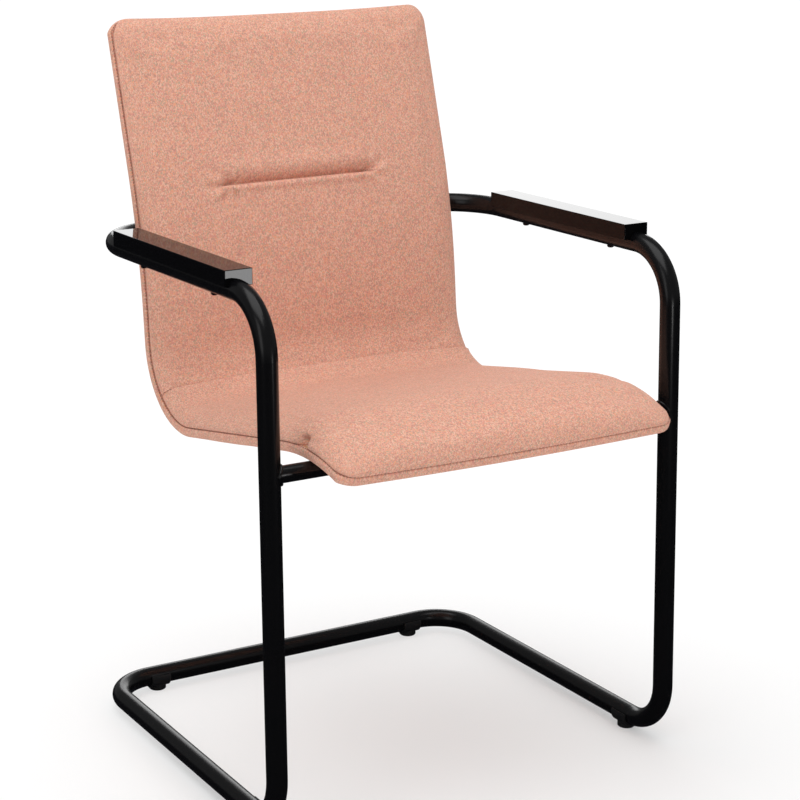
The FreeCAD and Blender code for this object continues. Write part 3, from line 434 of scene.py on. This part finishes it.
# Radii of the three arcs and lengths of the three flats, in mm.
BROW, BEND, LUMBAR = 268.0, 93.0, 900.0
SEAT_FLAT, LOWER_FLAT, UPPER_FLAT = 248.0, 33.0, 185.0
# The seam lies this many degrees into the bend; the brow is highest here, as (y, z).
SEAM_TURN = 51.0
PEAK = (-209.993, 465.4)
DEGREE = math.radians(1)
OVERRUN, SAMPLES = 60, 8001

lengths = [BROW * DROP * DEGREE, BROW * PITCH * DEGREE, SEAT_FLAT,
           BEND * (90 - LOWER + PITCH) * DEGREE, LOWER_FLAT,
           LUMBAR * (UPPER - LOWER) * DEGREE, UPPER_FLAT]
knots = np.concatenate([[0.0], np.cumsum(lengths)])
headings = np.array([DROP, 0, -PITCH, -PITCH, 90 - LOWER, 90 - LOWER, 90 - UPPER,
                     90 - UPPER])
LENGTH = knots[-1]
SEAM = knots[3] + BEND * SEAM_TURN * DEGREE

fine = np.linspace(-OVERRUN, LENGTH + OVERRUN, SAMPLES)
angle = np.radians(np.interp(fine, knots, headings))
step = fine[1] - fine[0]
run, climb = (np.concatenate([[0], np.cumsum((part[1:] + part[:-1]) / 2)]) * step
              for part in (np.cos(angle), np.sin(angle)))
run += PEAK[0] - np.interp(knots[1], fine, run)
climb += PEAK[1] - np.interp(knots[1], fine, climb)


def in_space(x, s, n):
    """Points in metres from places on the cloth in millimetres."""
    h = np.interp(s, fine, angle)
    y = np.interp(s, fine, run) - n * np.sin(h)
    z = np.interp(s, fine, climb) + n * np.cos(h)
    return np.stack([x, y, z], axis=-1) * MM


print("line of", round(LENGTH), "mm, seat and back meet at", round(SEAM))

# %% [markdown]
# ## Pads
# A pad is foam under a sewn cover: it rises from the seam round a soft edge and swells to
# a crown. A box with rounded edges could be squashed to it, but its grid wouldn't follow
# the seam. Here close rings run along the outline and turn with the corners, a plain grid
# fills the middle, and the same sheet again, laid flat below, closes the pad.

# %% Sizes of the pads
# Half the shell's width, the thickness of the cover and the width of the soft edge, in mm.
HALF, COVER, SOFT = 230.0, 1.5, 22.0
# Corner radii at the front edge and at the top, and each pad's share of the seam's gap.
FRONT_CORNER, TOP_CORNER = 24.0, 23.5
SEAM_GAP = 0.55
RINGS = SOFT * (1 - np.cos(np.radians(np.linspace(0, 90, 10))))
# Rows lie about this far apart, and beside the seam at these distances.
ROW_STEP = 7
NEAR_SEAM = np.array([18.0, 12.5, 8.5, 5.6, 3.6, 2.2, 1.2, 0.5, 0.0])


def smooth(value):
    """A soft step from 0 to 1."""
    value = np.clip(value, 0, 1)
    return value * value * (3 - 2 * value)


def rounded(e, reach):
    """Quarter circle from 0 at the outline to 1 at the reach."""
    return np.sqrt(1 - (1 - np.clip(e / reach, 0, 1)) ** 2)


def hill(distance, width):
    """A bump of height 1 round distance 0."""
    return np.exp(-(distance / width) ** 2)


print("rings at", [round(float(r), 1) for r in RINGS])


# %% Columns, rows and the free end
def sheet_columns(corner):
    """Columns from right to left of the sitter, as (side, angle) or (0, x)."""
    turns = np.radians(np.linspace(0, 90, 11))
    inner = np.arange(-25, 26) / 25 * (HALF - corner)
    return ([(-1, a) for a in turns[:0:-1]] + [(0, x) for x in inner]
            + [(1, a) for a in turns[1:]])


def sheet_rows(total, rows_at):
    """Rows as shares of the way from the soft edge to the seam, closer at rows_at."""
    shares = np.linspace(0, 1, int((total - SOFT) / ROW_STEP))
    shares = shares * (total - NEAR_SEAM[0] - SOFT) / (total - SOFT)
    if rows_at is not None:
        clear = abs(shares[:, None] * (total - SOFT) + SOFT - rows_at) > 2.5
        shares = np.sort(np.concatenate([shares[np.all(clear, axis=1)],
                                         (rows_at - SOFT) / (total - SOFT)]))
    return np.concatenate([shares, (total - NEAR_SEAM[1:] - SOFT) / (total - SOFT)])


def end_point(column, e, corner, swell):
    """Place (x, t) at distance e inside the free end, and the way inwards there."""
    side, where = column
    if side == 0:
        return where, e - swell(where), (0.0, 1.0)
    centre = HALF - corner
    reach = corner - e
    x = side * (centre + reach * math.sin(where))
    t = corner - reach * math.cos(where) - swell(centre) * math.cos(where)
    return x, t, (-side * math.sin(where), math.cos(where))


print("the seat's sheet has", len(sheet_columns(FRONT_CORNER)), "columns")


# %% The sheet of a pad
def quads(index, kind, wide, deep):
    """Faces between neighbouring places of one kind, in a grid of wide by deep."""
    return [[index[(kind, a, b)] for a, b in
             ((j, i), (j + 1, i), (j + 1, i + 1), (j, i + 1))]
            for j in range(wide - 1) for i in range(deep - 1)]


def pad_sheet(corner, total, swell, rows_at=None):
    """Places (x, t) of a pad, where t runs from its free end to the seam, and its faces.

    swell(x) is how far the free end bows out. Returned are x, t, the distance e from the
    outline, the direction inwards for places on the border, the same for the whole soft
    edge, and the faces.
    """
    columns, rows = sheet_columns(corner), sheet_rows(total, rows_at)
    x, t, e, inward, edgeward, index = [], [], [], [], [], {}

    def place(key, px, pt, pe, way=(0.0, 0.0), steep=(0.0, 0.0)):
        index[key] = len(x)
        x.append(px)
        t.append(pt)
        e.append(pe)
        inward.append(way)
        edgeward.append(steep)

    last_row, count = len(rows) - 1, len(columns)
    for j, column in enumerate(columns):
        px, start, _ = end_point(column, SOFT, corner, swell)
        for i, share_of_way in enumerate(rows):
            way = (0.0, -1.0) if i == last_row else (0.0, 0.0)
            place(("grid", j, i), px, start + (total - start) * share_of_way, SOFT, way)
    border = [("grid", 0, i) for i in range(last_row, 0, -1)]
    border += [("grid", j, 0) for j in range(count)]
    border += [("grid", count - 1, i) for i in range(1, last_row + 1)]
    for k, key in enumerate(border):
        _, j, i = key
        for r, distance in enumerate(RINGS[:-1]):
            if i == 0:
                px, pt, way = end_point(columns[j], distance, corner, swell)
            else:
                side = -1 if j == 0 else 1
                px, pt, way = side * (HALF - distance), t[index[key]], (-side * 1.0, 0.0)
            on_seam = (0.0, -1.0) if k in (0, len(border) - 1) else (0.0, 0.0)
            place(("ring", k, r), px, pt, distance, way if r == 0 else on_seam, way)
        index[("ring", k, len(RINGS) - 1)] = index[key]
    faces = quads(index, "grid", count, len(rows))
    faces += quads(index, "ring", len(border), len(RINGS))
    return tuple(np.array(part) for part in (x, t, e, inward, edgeward)) + (faces,)


print("pads are laid out in", len(RINGS), "rings round a grid")


# %% The height of a pad
# A pad stands this high at its outline. Towards the seam between seat and back it dips
# over a wide reach and rolls in over a close one; each is (depth, reach), in mm.
FOOT = 1.0
DIP, ROLL_IN = (2.0, 7.0), (2.6, 2.2)
# Heights at the sides and in the middle of the seat, of the back, and where they meet.
SEAT_HEIGHTS, BACK_HEIGHTS, LAP_HEIGHTS = (22.5, 27.5), (14.5, 18.5), (18.5, 23.5)


def swollen(x, d, e, heights):
    """Height of a pad: soft edge, crown, and the roll into the seam at distance d."""
    shoulder, crown = heights
    top = shoulder + (crown - shoulder) * (1 - np.clip(abs(x) / (HALF - SOFT), 0, 1) ** 2)
    edge = rounded(e, SOFT)
    valley = DIP[0] * np.exp(-d / DIP[1]) + ROLL_IN[0] * (1 - rounded(d, ROLL_IN[1]))
    return FOOT + (top - FOOT - valley) * edge


print("the seat is", SEAT_HEIGHTS[1], "mm high in the middle and",
      round(float(swollen(0, 0, SOFT, SEAT_HEIGHTS)), 1), "mm at the seam")


# %% Closing a pad
# The wall comes down to the seam and under it by these (height, inset) steps, in mm.
WALL = [(0.5, 0.5), (-0.05, 1.5), (-1.3, 1.9)]
# The cloth above this height may move, the rest is held by the seam.
HELD_BELOW = 6.0


def border_loop(faces):
    """The edges that only one face uses, in the direction in which that face runs."""
    used = {}
    for face in faces:
        for a, b in zip(face, face[1:] + face[:1]):
            used[(a, b)] = True
    return [(a, b) for a, b in used if (b, a) not in used]


def keep_places(thing, x, s):
    """Writes the cloth coordinates, in metres, into a UV map."""
    layer = thing.data.uv_layers.new(name="cloth")
    corners = np.empty(len(thing.data.loops), dtype=np.int32)
    thing.data.loops.foreach_get("vertex_index", corners)
    flat = np.stack([x[corners], s[corners]], axis=1) * MM
    layer.data.foreach_set("uv", flat.ravel())


def closed_pad(name, x, s, n, inward, edgeward, faces, flip):
    """A pad with a wall that tucks in below the seam line and a flat underside."""
    count = len(x)
    down_the_edge = (n.max() - n)[:, None] * edgeward
    xs = [x] + [x + inward[:, 0] * inset for _, inset in WALL]
    ss = [s] + [s + inward[:, 1] * inset for _, inset in WALL]
    ns = [n] + [np.full(count, height) for height, _ in WALL]
    all_faces = [list(f) for f in faces]
    loop = border_loop(faces)
    for k in range(len(WALL)):
        for a, b in loop:
            all_faces.append([b + k * count, a + k * count,
                              a + (k + 1) * count, b + (k + 1) * count])
    all_faces += [[v + len(WALL) * count for v in reversed(f)] for f in faces]

    x, s, n = (np.concatenate(part) for part in (xs, ss, ns))
    used = np.zeros(len(x), bool)
    for f in all_faces:
        used[f] = True
    renumber = np.cumsum(used) - 1
    all_faces = [[int(renumber[v]) for v in f] for f in all_faces]
    if flip:
        all_faces = [f[::-1] for f in all_faces]
    down_the_edge = np.tile(down_the_edge, (len(WALL) + 1, 1))[used]
    x, s, n = x[used], s[used], n[used]
    made = mesh_object(name, in_space(x, s, n), all_faces)
    free = (np.arange(len(x)) < count) & (n > HELD_BELOW)
    group = made.vertex_groups.new(name="held")
    group.add([int(v) for v in np.flatnonzero(~free)], 1.0, "REPLACE")
    keep_places(made, x - down_the_edge[:, 0], s - down_the_edge[:, 1])
    return made


print("walls tuck in by", WALL[-1][1], "mm")


# %% Seat pad
def front_bow(at):
    """The front edge bows out in the middle."""
    return 4.0 * (1 - (at / HALF) ** 2)


seat_total = SEAM + COVER - SEAM_GAP
x, t, e, inward, edgeward, faces = pad_sheet(FRONT_CORNER, seat_total, front_bow)
n = swollen(x, seat_total - t, e, SEAT_HEIGHTS)
seat_pad = closed_pad("seat_pad", x, t - COVER, n, inward, edgeward, faces, flip=False)
print("seat pad", len(seat_pad.data.polygons), "faces")

# %% Back pad
# The tuck lies this far below the top edge and is tilted a little; the rows close up on it.
TUCK_DOWN = 215.7
TILT = math.tan(math.radians(0.4))
TUCK_AT = TUCK_DOWN + COVER
TUCK_ROWS = TUCK_AT + np.array([-20, -15, -11, -7.6, -4.8, -2.6, -1, 0.4, 1.8, 3.4, 5.6, 9, 13])


def top_ears(at):
    """The top edge is straight, with slight ears where it nears the corners."""
    return 3.0 * np.minimum(abs(at) / 205, 1) ** 3


back_total = LENGTH - SEAM + COVER - SEAM_GAP
x, t, e, inward, edgeward, faces = pad_sheet(TOP_CORNER, back_total, top_ears,
                                             rows_at=TUCK_ROWS)
t = t - TILT * x * hill(t - TUCK_AT, 60)
n = swollen(x, back_total - t, e, BACK_HEIGHTS)
back_pad = closed_pad("back_pad", x, LENGTH + COVER - t, n, inward * (1, -1),
                      edgeward * (1, -1), faces, flip=True)
print("back pad", len(back_pad.data.polygons), "faces")

# %% [markdown]
# ## Filling the pads
# Foam presses a cover outwards, and it bulges most where it isn't sewn. The cloth could be
# swollen by a formula, but a short simulation finds the bulge and its slight unevenness by
# itself: pressure from inside, no gravity, and what is sewn to the shell is held. The
# cloth may leave its drawn place by a few millimetres at most.


# %% Cloth simulation
def positions(thing):
    """Places of an object's vertices, one row each, in metres."""
    found = np.empty(len(thing.data.vertices) * 3)
    thing.data.vertices.foreach_get("co", found)
    return found.reshape(-1, 3)


def fill(pad, most, frames=20):
    """Blows a pad up from inside; most is the farthest move in mm."""
    modifier = pad.modifiers.new("cloth", "CLOTH")
    cloth = modifier.settings
    cloth.quality = 6
    cloth.mass = 0.25
    cloth.tension_stiffness = cloth.compression_stiffness = 30
    cloth.shear_stiffness = 12
    cloth.bending_stiffness = 3
    cloth.use_pressure = True
    cloth.uniform_pressure_force = 4.0
    cloth.vertex_group_mass = "held"
    cloth.effector_weights.gravity = 0.0
    modifier.collision_settings.use_collision = False
    modifier.point_cache.frame_start, modifier.point_cache.frame_end = 1, frames
    drawn = positions(pad)
    scene = bpy.context.scene
    for number in range(1, frames + 1):
        scene.frame_set(number)
    graph = bpy.context.evaluated_depsgraph_get()
    move = positions(pad.evaluated_get(graph)) - drawn
    far = np.linalg.norm(move, axis=1)
    move *= (np.minimum(far, most * MM) / np.maximum(far, 1e-9))[:, None]
    pad.modifiers.remove(modifier)
    scene.frame_set(1)
    pad.data.vertices.foreach_set("co", (drawn + move).ravel())
    pad.data.update()
    print(pad.name, "moved up to", round(float(far.max()) / MM, 2), "mm, middle value",
          round(float(np.median(far)) / MM, 2))


fill(seat_pad, most=2.5)
fill(back_pad, most=2.0)
for pad in (seat_pad, back_pad):
    pad.vertex_groups.clear()
    finer = pad.modifiers.new("finer", "SUBSURF")
    finer.levels = finer.render_levels = 1
    settle(pad)
print("pads filled")

# %% [markdown]
# ## Tuck and darts
# A tuck sewn across the back draws the cover in over half its width: the cloth rolls down
# into the stitch from above, stands up in a small lip below, and puckers at the ends. Two
# darts dimple the front of the seat. Sculpting would do it by hand; moving the vertices by
# a formula in cloth places puts each fold at a measured spot.

# %% Cloth places of a finished pad
BATCH = 4000
COARSE = 8


def places_of(thing):
    """Vertices of a pad as (x, s, n) in millimetres, found by the nearest line point."""
    points = positions(thing) / MM
    normal = np.stack([-np.sin(angle), np.cos(angle)], axis=1)
    along = np.stack([np.cos(angle), np.sin(angle)], axis=1)
    line = np.stack([run, climb], axis=1)
    s = np.empty(len(points))
    n = np.empty(len(points))
    for start in range(0, len(points), BATCH):
        block = points[start:start + BATCH, 1:]
        gap = block[:, None, :] - line[None, ::COARSE]
        nearest = np.argmin((gap ** 2).sum(axis=2), axis=1) * COARSE
        for _ in range(3):
            off = ((block - line[nearest]) * along[nearest]).sum(axis=1)
            nearest = np.clip(nearest + np.rint(off / step).astype(int), 0, len(fine) - 1)
        off = ((block - line[nearest]) * along[nearest]).sum(axis=1)
        s[start:start + BATCH] = fine[nearest] + off
        n[start:start + BATCH] = ((block - line[nearest]) * normal[nearest]).sum(axis=1)
    return points[:, 0], s, n


def put(thing, x, s, n):
    """Moves the vertices of a pad to these places on the cloth."""
    thing.data.vertices.foreach_set("co", in_space(x, s, n).ravel())
    thing.data.update()


def pinched(x, n, amount):
    """Draws the side walls of a pad in towards the seam at their foot."""
    near_wall = smooth((abs(x) - (HALF - 13)) / 8)
    return x - np.sign(x) * amount * near_wall * (1 - smooth((n + 1) / 9))


x, s, n = places_of(back_pad)
print("back pad stands", round(float(n.max()), 1), "mm off the line")

# %% Tuck
# Half its width, its middle off the centre line and its depth, in mm.
HALF_TUCK, TUCK_MIDDLE, TUCK_DEPTH = 115.0, -2.9, 11.0
# How far the cloth slopes into the stitch from above and from below.
SLOPE_ABOVE, SLOPE_BELOW = 7.0, 2.0
# The swell above the stitch, the lip below it and the cloth rolled towards it, each as
# (height, how far above the stitch, width).
SWELL, LIP, ROLLED = (2.2, 20, 11), (2.6, -5, 5), (1.6, -2.6, 2.2)
# Height of the puckers at each end, by side.
PUCKERS = {-1: 2.2, 1: 1.6}
BACK_PINCH = 2.8


def bulge(shape, distance):
    """A bulge of this (height, place, width) at a distance."""
    height, place, width = shape
    return height * hill(distance - place, width)


def tucked(x, s, n):
    """Sews the tuck across the back."""
    top = smooth((n - 2) / 8)
    from_middle = x - TUCK_MIDDLE
    above = s - (LENGTH - TUCK_DOWN + TILT * x)
    inside = 1 - abs(from_middle) / HALF_TUCK
    strength = smooth(inside / 0.16 + 0.2) * (abs(from_middle) < HALF_TUCK * 1.1)
    slope = np.where(above < 0, above / SLOPE_BELOW, above / SLOPE_ABOVE)
    groove = TUCK_DEPTH * np.exp(-abs(slope) ** 1.6)
    n = n + top * strength * (bulge(SWELL, above) + bulge(LIP, above) - groove)
    s = s + top * strength * bulge(ROLLED, above)
    for side, height in PUCKERS.items():
        past_end = from_middle - side * HALF_TUCK * 0.95
        fan = np.arctan2(above, past_end * side + 9)
        off = np.hypot(past_end, above)
        n = n + top * height * np.sin(fan * 7 + side) * hill(off - 13, 11)
    return x, s, n


x, s, n = tucked(x, s, n)
put(back_pad, pinched(x, n, BACK_PINCH), s, n)
print("tuck", round(2 * HALF_TUCK), "mm wide and", TUCK_DEPTH, "mm deep")

# %% Darts and front corners
# A dart lies this far across and along, and the one on the sitter's left hardly shows.
DART_X, DART_S = 229, 93
DART_STRENGTH = {-1: 1.15, 1: 0.25}
# How far a full dart draws the edge in, over what reach, and the fold that runs from it.
PULL, PULL_REACH = 13.0, 7.5
FOLD_X, FOLD_DEPTH, FOLD_WIDTH = 210, 4.5, 6
# A front corner is this share thinner than the pad, over this reach.
CORNER_SHARE, CORNER_REACH = 0.5, 36
SEAT_PINCH = 1.2


def darted(x, s, n, side):
    """Draws the edge in at a dart, with a fold that runs inwards and small puckers."""
    strength = DART_STRENGTH[side]
    off = np.sqrt((x - side * DART_X) ** 2 + (s - DART_S) ** 2 + ((n - 6) * 0.7) ** 2)
    x = x - side * PULL * strength * hill(off, PULL_REACH)
    fold = np.hypot((x - side * FOLD_X) * 0.5, s - DART_S)
    n = n - FOLD_DEPTH * strength * hill(fold, FOLD_WIDTH) * smooth((n - 5) / 8)
    fan = np.arctan2(s - DART_S, (DART_X - x * side) + 4)
    n = n + strength * np.sin(fan * 6) * hill(off - 26, 14) * smooth((n - 8) / 8)
    return x, n


def thinned(x, s, n, side):
    """Height of the pad, thinner towards a front corner."""
    corner = np.hypot(x - side * (HALF - 2), s - 2)
    return n * np.where(n > 0, 1 - CORNER_SHARE * hill(corner, CORNER_REACH), 1)


x, s, n = places_of(seat_pad)
for side in DART_STRENGTH:
    x, n = darted(x, s, n, side)
    n = thinned(x, s, n, side)
# Slight waves along the front edge, where the cloth is pulled over it.
front = hill(s - 16, 20) * (n > 5)
n = n + 0.5 * front * np.sin(x / 17 + 0.8) * np.cos(x / 41)
# Near the seam the seat is drawn in as far as the back, so that their walls meet.
to_back = smooth((s - (SEAM - 70)) / 60)
put(seat_pad, pinched(x, n, SEAT_PINCH + (BACK_PINCH - SEAT_PINCH) * to_back), s, n)
print("darts at", DART_S, "mm from the front edge")

# %% [markdown]
# ## Rear skin
# One taut sheet of the same wool covers the back of the shell and turns up round its edge
# to the seam, where it disappears under the pads. A plain grid follows the outline, a
# strip of rings round it makes the turned-up edge, and Solidify gives it its thickness.

# %% Grid of the rear skin
# Radius of the turned-up edge, and where the skin lies behind the line, in mm.
ROUND, SKIN_AT = 3.2, -12.0
# Under the rear of the seat the skin bellies out between these places.
BELLY, BELLY_FROM, BELLY_TO = 3.6, 215, 350


def end_of(x, corner, swell):
    """Where the outline ends at x: swollen between the corners and round at them."""
    within = np.minimum(abs(x), HALF - corner)
    level = np.sqrt(1 - (np.clip(abs(x) - within, 0, corner) / corner) ** 2)
    return corner - (corner + swell(within)) * level


turns = np.sin(np.radians(np.linspace(0, 90, 12)))
skin_x = np.concatenate([np.linspace(0, HALF - FRONT_CORNER, 27)[:-1],
                         HALF - FRONT_CORNER + (FRONT_CORNER - ROUND) * turns])
skin_x = np.concatenate([-skin_x[:0:-1], skin_x])
front = end_of(skin_x, FRONT_CORNER, front_bow) - COVER
rear = LENGTH + COVER - end_of(skin_x, TOP_CORNER, top_ears)
shares = np.linspace(0, 1, 150)
gx = np.repeat(skin_x[:, None], len(shares), axis=1)
gs = front[:, None] + ROUND + (rear - front - 2 * ROUND)[:, None] * shares
belly = (BELLY * smooth((gs - BELLY_FROM) / 45) * smooth((BELLY_TO - gs) / 50)
         * (1 - (gx / 235) ** 4))
gn = SKIN_AT - belly
count, rows = gx.shape
number = np.arange(count * rows).reshape(count, rows)
faces = [[number[j, i], number[j, i + 1], number[j + 1, i + 1], number[j + 1, i]]
         for j in range(count - 1) for i in range(rows - 1)]
print("rear skin grid of", count, "by", rows)

# %% Turned-up edge of the rear skin
loop = np.concatenate([number[:, 0], number[-1, 1:], number[-2::-1, -1], number[0, -2:0:-1]])
bx, bs = gx.ravel()[loop], gs.ravel()[loop]
way = np.stack([np.roll(bx, -1) - np.roll(bx, 1), np.roll(bs, -1) - np.roll(bs, 1)], axis=1)
out = np.stack([way[:, 1], -way[:, 0]], axis=1)
out /= np.linalg.norm(out, axis=1)[:, None]

# Each ring of the edge as (outwards from the grid, height), up to the lip under the pads.
edge_rings = [(ROUND * math.sin(a), SKIN_AT + ROUND * (1 - math.cos(a)))
              for a in np.radians([30, 60, 90])]
edge_rings += [(ROUND + 0.25, -5.0), (ROUND + 0.1, -2.2), (ROUND - 0.5, -1.2),
               (ROUND - 1.7, -0.8), (ROUND - 4.8, -0.6)]
skin_parts = [(gx.ravel(), gs.ravel(), gn.ravel())]
cloth_parts = [(gx.ravel(), gs.ravel())]
before = loop
for k, (offset, height) in enumerate(edge_rings):
    reach = offset + height - SKIN_AT
    cloth_parts.append((bx + out[:, 0] * reach, bs + out[:, 1] * reach))
    skin_parts.append((bx + out[:, 0] * offset, bs + out[:, 1] * offset,
                       np.full(len(loop), height)))
    now = np.arange(len(loop)) + count * rows + k * len(loop)
    for a in range(len(loop)):
        b = (a + 1) % len(loop)
        faces.append([before[a], before[b], now[b], now[a]])
    before = now
x, s, n = (np.concatenate(part) for part in zip(*skin_parts))
rear_skin = mesh_object("rear_skin", in_space(x, s, n), [[int(v) for v in f] for f in faces])
keep_places(rear_skin, *(np.concatenate(part) for part in zip(*cloth_parts)))
thick = rear_skin.modifiers.new("thickness", "SOLIDIFY")
thick.thickness = 1.4 * MM
thick.offset = -1.0
settle(rear_skin)
print("rear skin", len(rear_skin.data.polygons), "faces")

# %% [markdown]
# ## Thread
# The seams are sewn at a fixed pitch. Copying stitches by hand would take hundreds of
# objects, so Geometry Nodes lay one rounded stitch at every step along a seam line, turn
# it along the line and vary its size a little.


# %% Stitch tree
def stitch_group():
    """A node group that lays stitches along a curve."""
    group = bpy.data.node_groups.new("stitches", "GeometryNodeTree")
    sides = group.interface
    sides.new_socket("Line", in_out="INPUT", socket_type="NodeSocketGeometry")
    for name, value in (("Pitch", 0.0042), ("Length", 0.003), ("Thickness", 0.0007)):
        socket = sides.new_socket(name, in_out="INPUT", socket_type="NodeSocketFloat")
        socket.default_value = value
    socket = sides.new_socket("Seed", in_out="INPUT", socket_type="NodeSocketInt")
    socket.default_value = 7
    sides.new_socket("Stitches", in_out="OUTPUT", socket_type="NodeSocketGeometry")
    given = node(group, "NodeGroupInput")
    spaced = node(group, "GeometryNodeResampleCurve",
                  {"Curve": given.outputs["Line"], "Length": given.outputs["Pitch"]},
                  mode="LENGTH")
    half = node(group, "ShaderNodeMath", {0: given.outputs["Thickness"], 1: 0.5},
                operation="MULTIPLY")
    ball = node(group, "GeometryNodeMeshUVSphere", {"Segments": 8, "Rings": 6,
                                                    "Radius": half.outputs[0]})
    ratio = node(group, "ShaderNodeMath", {0: given.outputs["Length"],
                                           1: given.outputs["Thickness"]},
                 operation="DIVIDE")
    size = node(group, "ShaderNodeCombineXYZ", {"X": 1.0, "Y": 1.0, "Z": ratio.outputs[0]})
    stitch = node(group, "GeometryNodeTransform", {"Geometry": ball.outputs["Mesh"],
                                                   "Scale": size.outputs[0]})
    along = node(group, "GeometryNodeInputTangent")
    facing = node(group, "FunctionNodeAlignRotationToVector",
                  {"Vector": along.outputs[0]}, axis="Z")
    wobble = node(group, "FunctionNodeRandomValue", {2: 0.93, 3: 1.07,
                                                     "Seed": given.outputs["Seed"]},
                  data_type="FLOAT")
    laid = node(group, "GeometryNodeInstanceOnPoints",
                {"Points": spaced.outputs[0], "Instance": stitch.outputs[0],
                 "Rotation": facing.outputs[0], "Scale": wobble.outputs[1]})
    real = node(group, "GeometryNodeRealizeInstances", {0: laid.outputs[0]})
    dressed = node(group, "GeometryNodeSetMaterial", {0: real.outputs[0],
                                                      "Material": thread})
    node(group, "NodeGroupOutput", {0: dressed.outputs[0]})
    return group


stitches = stitch_group()
print("stitch tree of", len(stitches.nodes), "nodes")


# %% Sewing
STITCH_PITCH = 4.2
# The edge seam runs this far inside the turned-up edge, at this height; the cross seam
# lies this high above the foot of the dip, all in mm.
EDGE_INSET, EDGE_HEIGHT, LAP_RISE = 1.35, -0.15, 2.8


def seam_curve(name, x, s, n, closed):
    """A curve through these places on the cloth."""
    points = in_space(np.asarray(x, float), np.asarray(s, float), np.asarray(n, float))
    curve = bpy.data.curves.new(name, "CURVE")
    curve.dimensions = "3D"
    line = curve.splines.new("POLY")
    line.points.add(len(points) - 1)
    line.points.foreach_set("co", np.c_[points, np.ones(len(points))].ravel())
    line.use_cyclic_u = closed
    made = bpy.data.objects.new(name, curve)
    bpy.context.scene.collection.objects.link(made)
    return made


def sew(line):
    """Turns a seam curve into stitches and returns them as a mesh object."""
    modifier = line.modifiers.new("sewing", "NODES")
    modifier.node_group = stitches
    sockets = {item.name: item.identifier for item in stitches.interface.items_tree
               if item.in_out == "INPUT"}
    modifier[sockets["Pitch"]] = STITCH_PITCH * MM
    line.update_tag()
    graph = bpy.context.evaluated_depsgraph_get()
    mesh = bpy.data.meshes.new_from_object(line.evaluated_get(graph))
    made = bpy.data.objects.new(line.name + "_stitches", mesh)
    bpy.context.scene.collection.objects.link(made)
    bpy.data.objects.remove(line)
    return made


rim_x = bx + out[:, 0] * (ROUND - EDGE_INSET)
rim_s = bs + out[:, 1] * (ROUND - EDGE_INSET)
edge_line = seam_curve("edge_seam", rim_x, rim_s, np.full(len(loop), EDGE_HEIGHT), True)
wide = np.linspace(-HALF + 3, HALF - 3, 120)
lap = swollen(wide, np.zeros_like(wide), HALF - abs(wide), LAP_HEIGHTS)
cross_line = seam_curve("cross_seam", wide, np.full(len(wide), SEAM), lap + LAP_RISE,
                        False)
sewn = [sew(edge_line), sew(cross_line)]
bpy.ops.object.select_all(action="DESELECT")
for thing in sewn:
    thing.select_set(True)
bpy.context.view_layer.objects.active = sewn[0]
bpy.ops.object.join()
seam_thread = sewn[0]
seam_thread.name = "seam_thread"
print("stitches:", len(seam_thread.data.polygons), "faces")

# %% [markdown]
# ## Onto the chair
# Every piece rides on the chair's one body, and the parts of the model that it stands for are
# hidden.

# %% Finish
for piece in (seat_pad, back_pad, rear_skin):
    piece.data.materials.clear()
    piece.data.materials.append(wool)
for piece, stands_for in ((seat_pad, ("seat_cover", "seat_foam")),
                          (back_pad, ("back_cover", "back_foam")),
                          (rear_skin, ("rear_cover",)), (seam_thread, ())):
    piece.data.polygons.foreach_set("use_smooth", [True] * len(piece.data.polygons))
    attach(piece, "root")
    if stands_for:
        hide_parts(*stands_for)

bpy.context.view_layer.update()
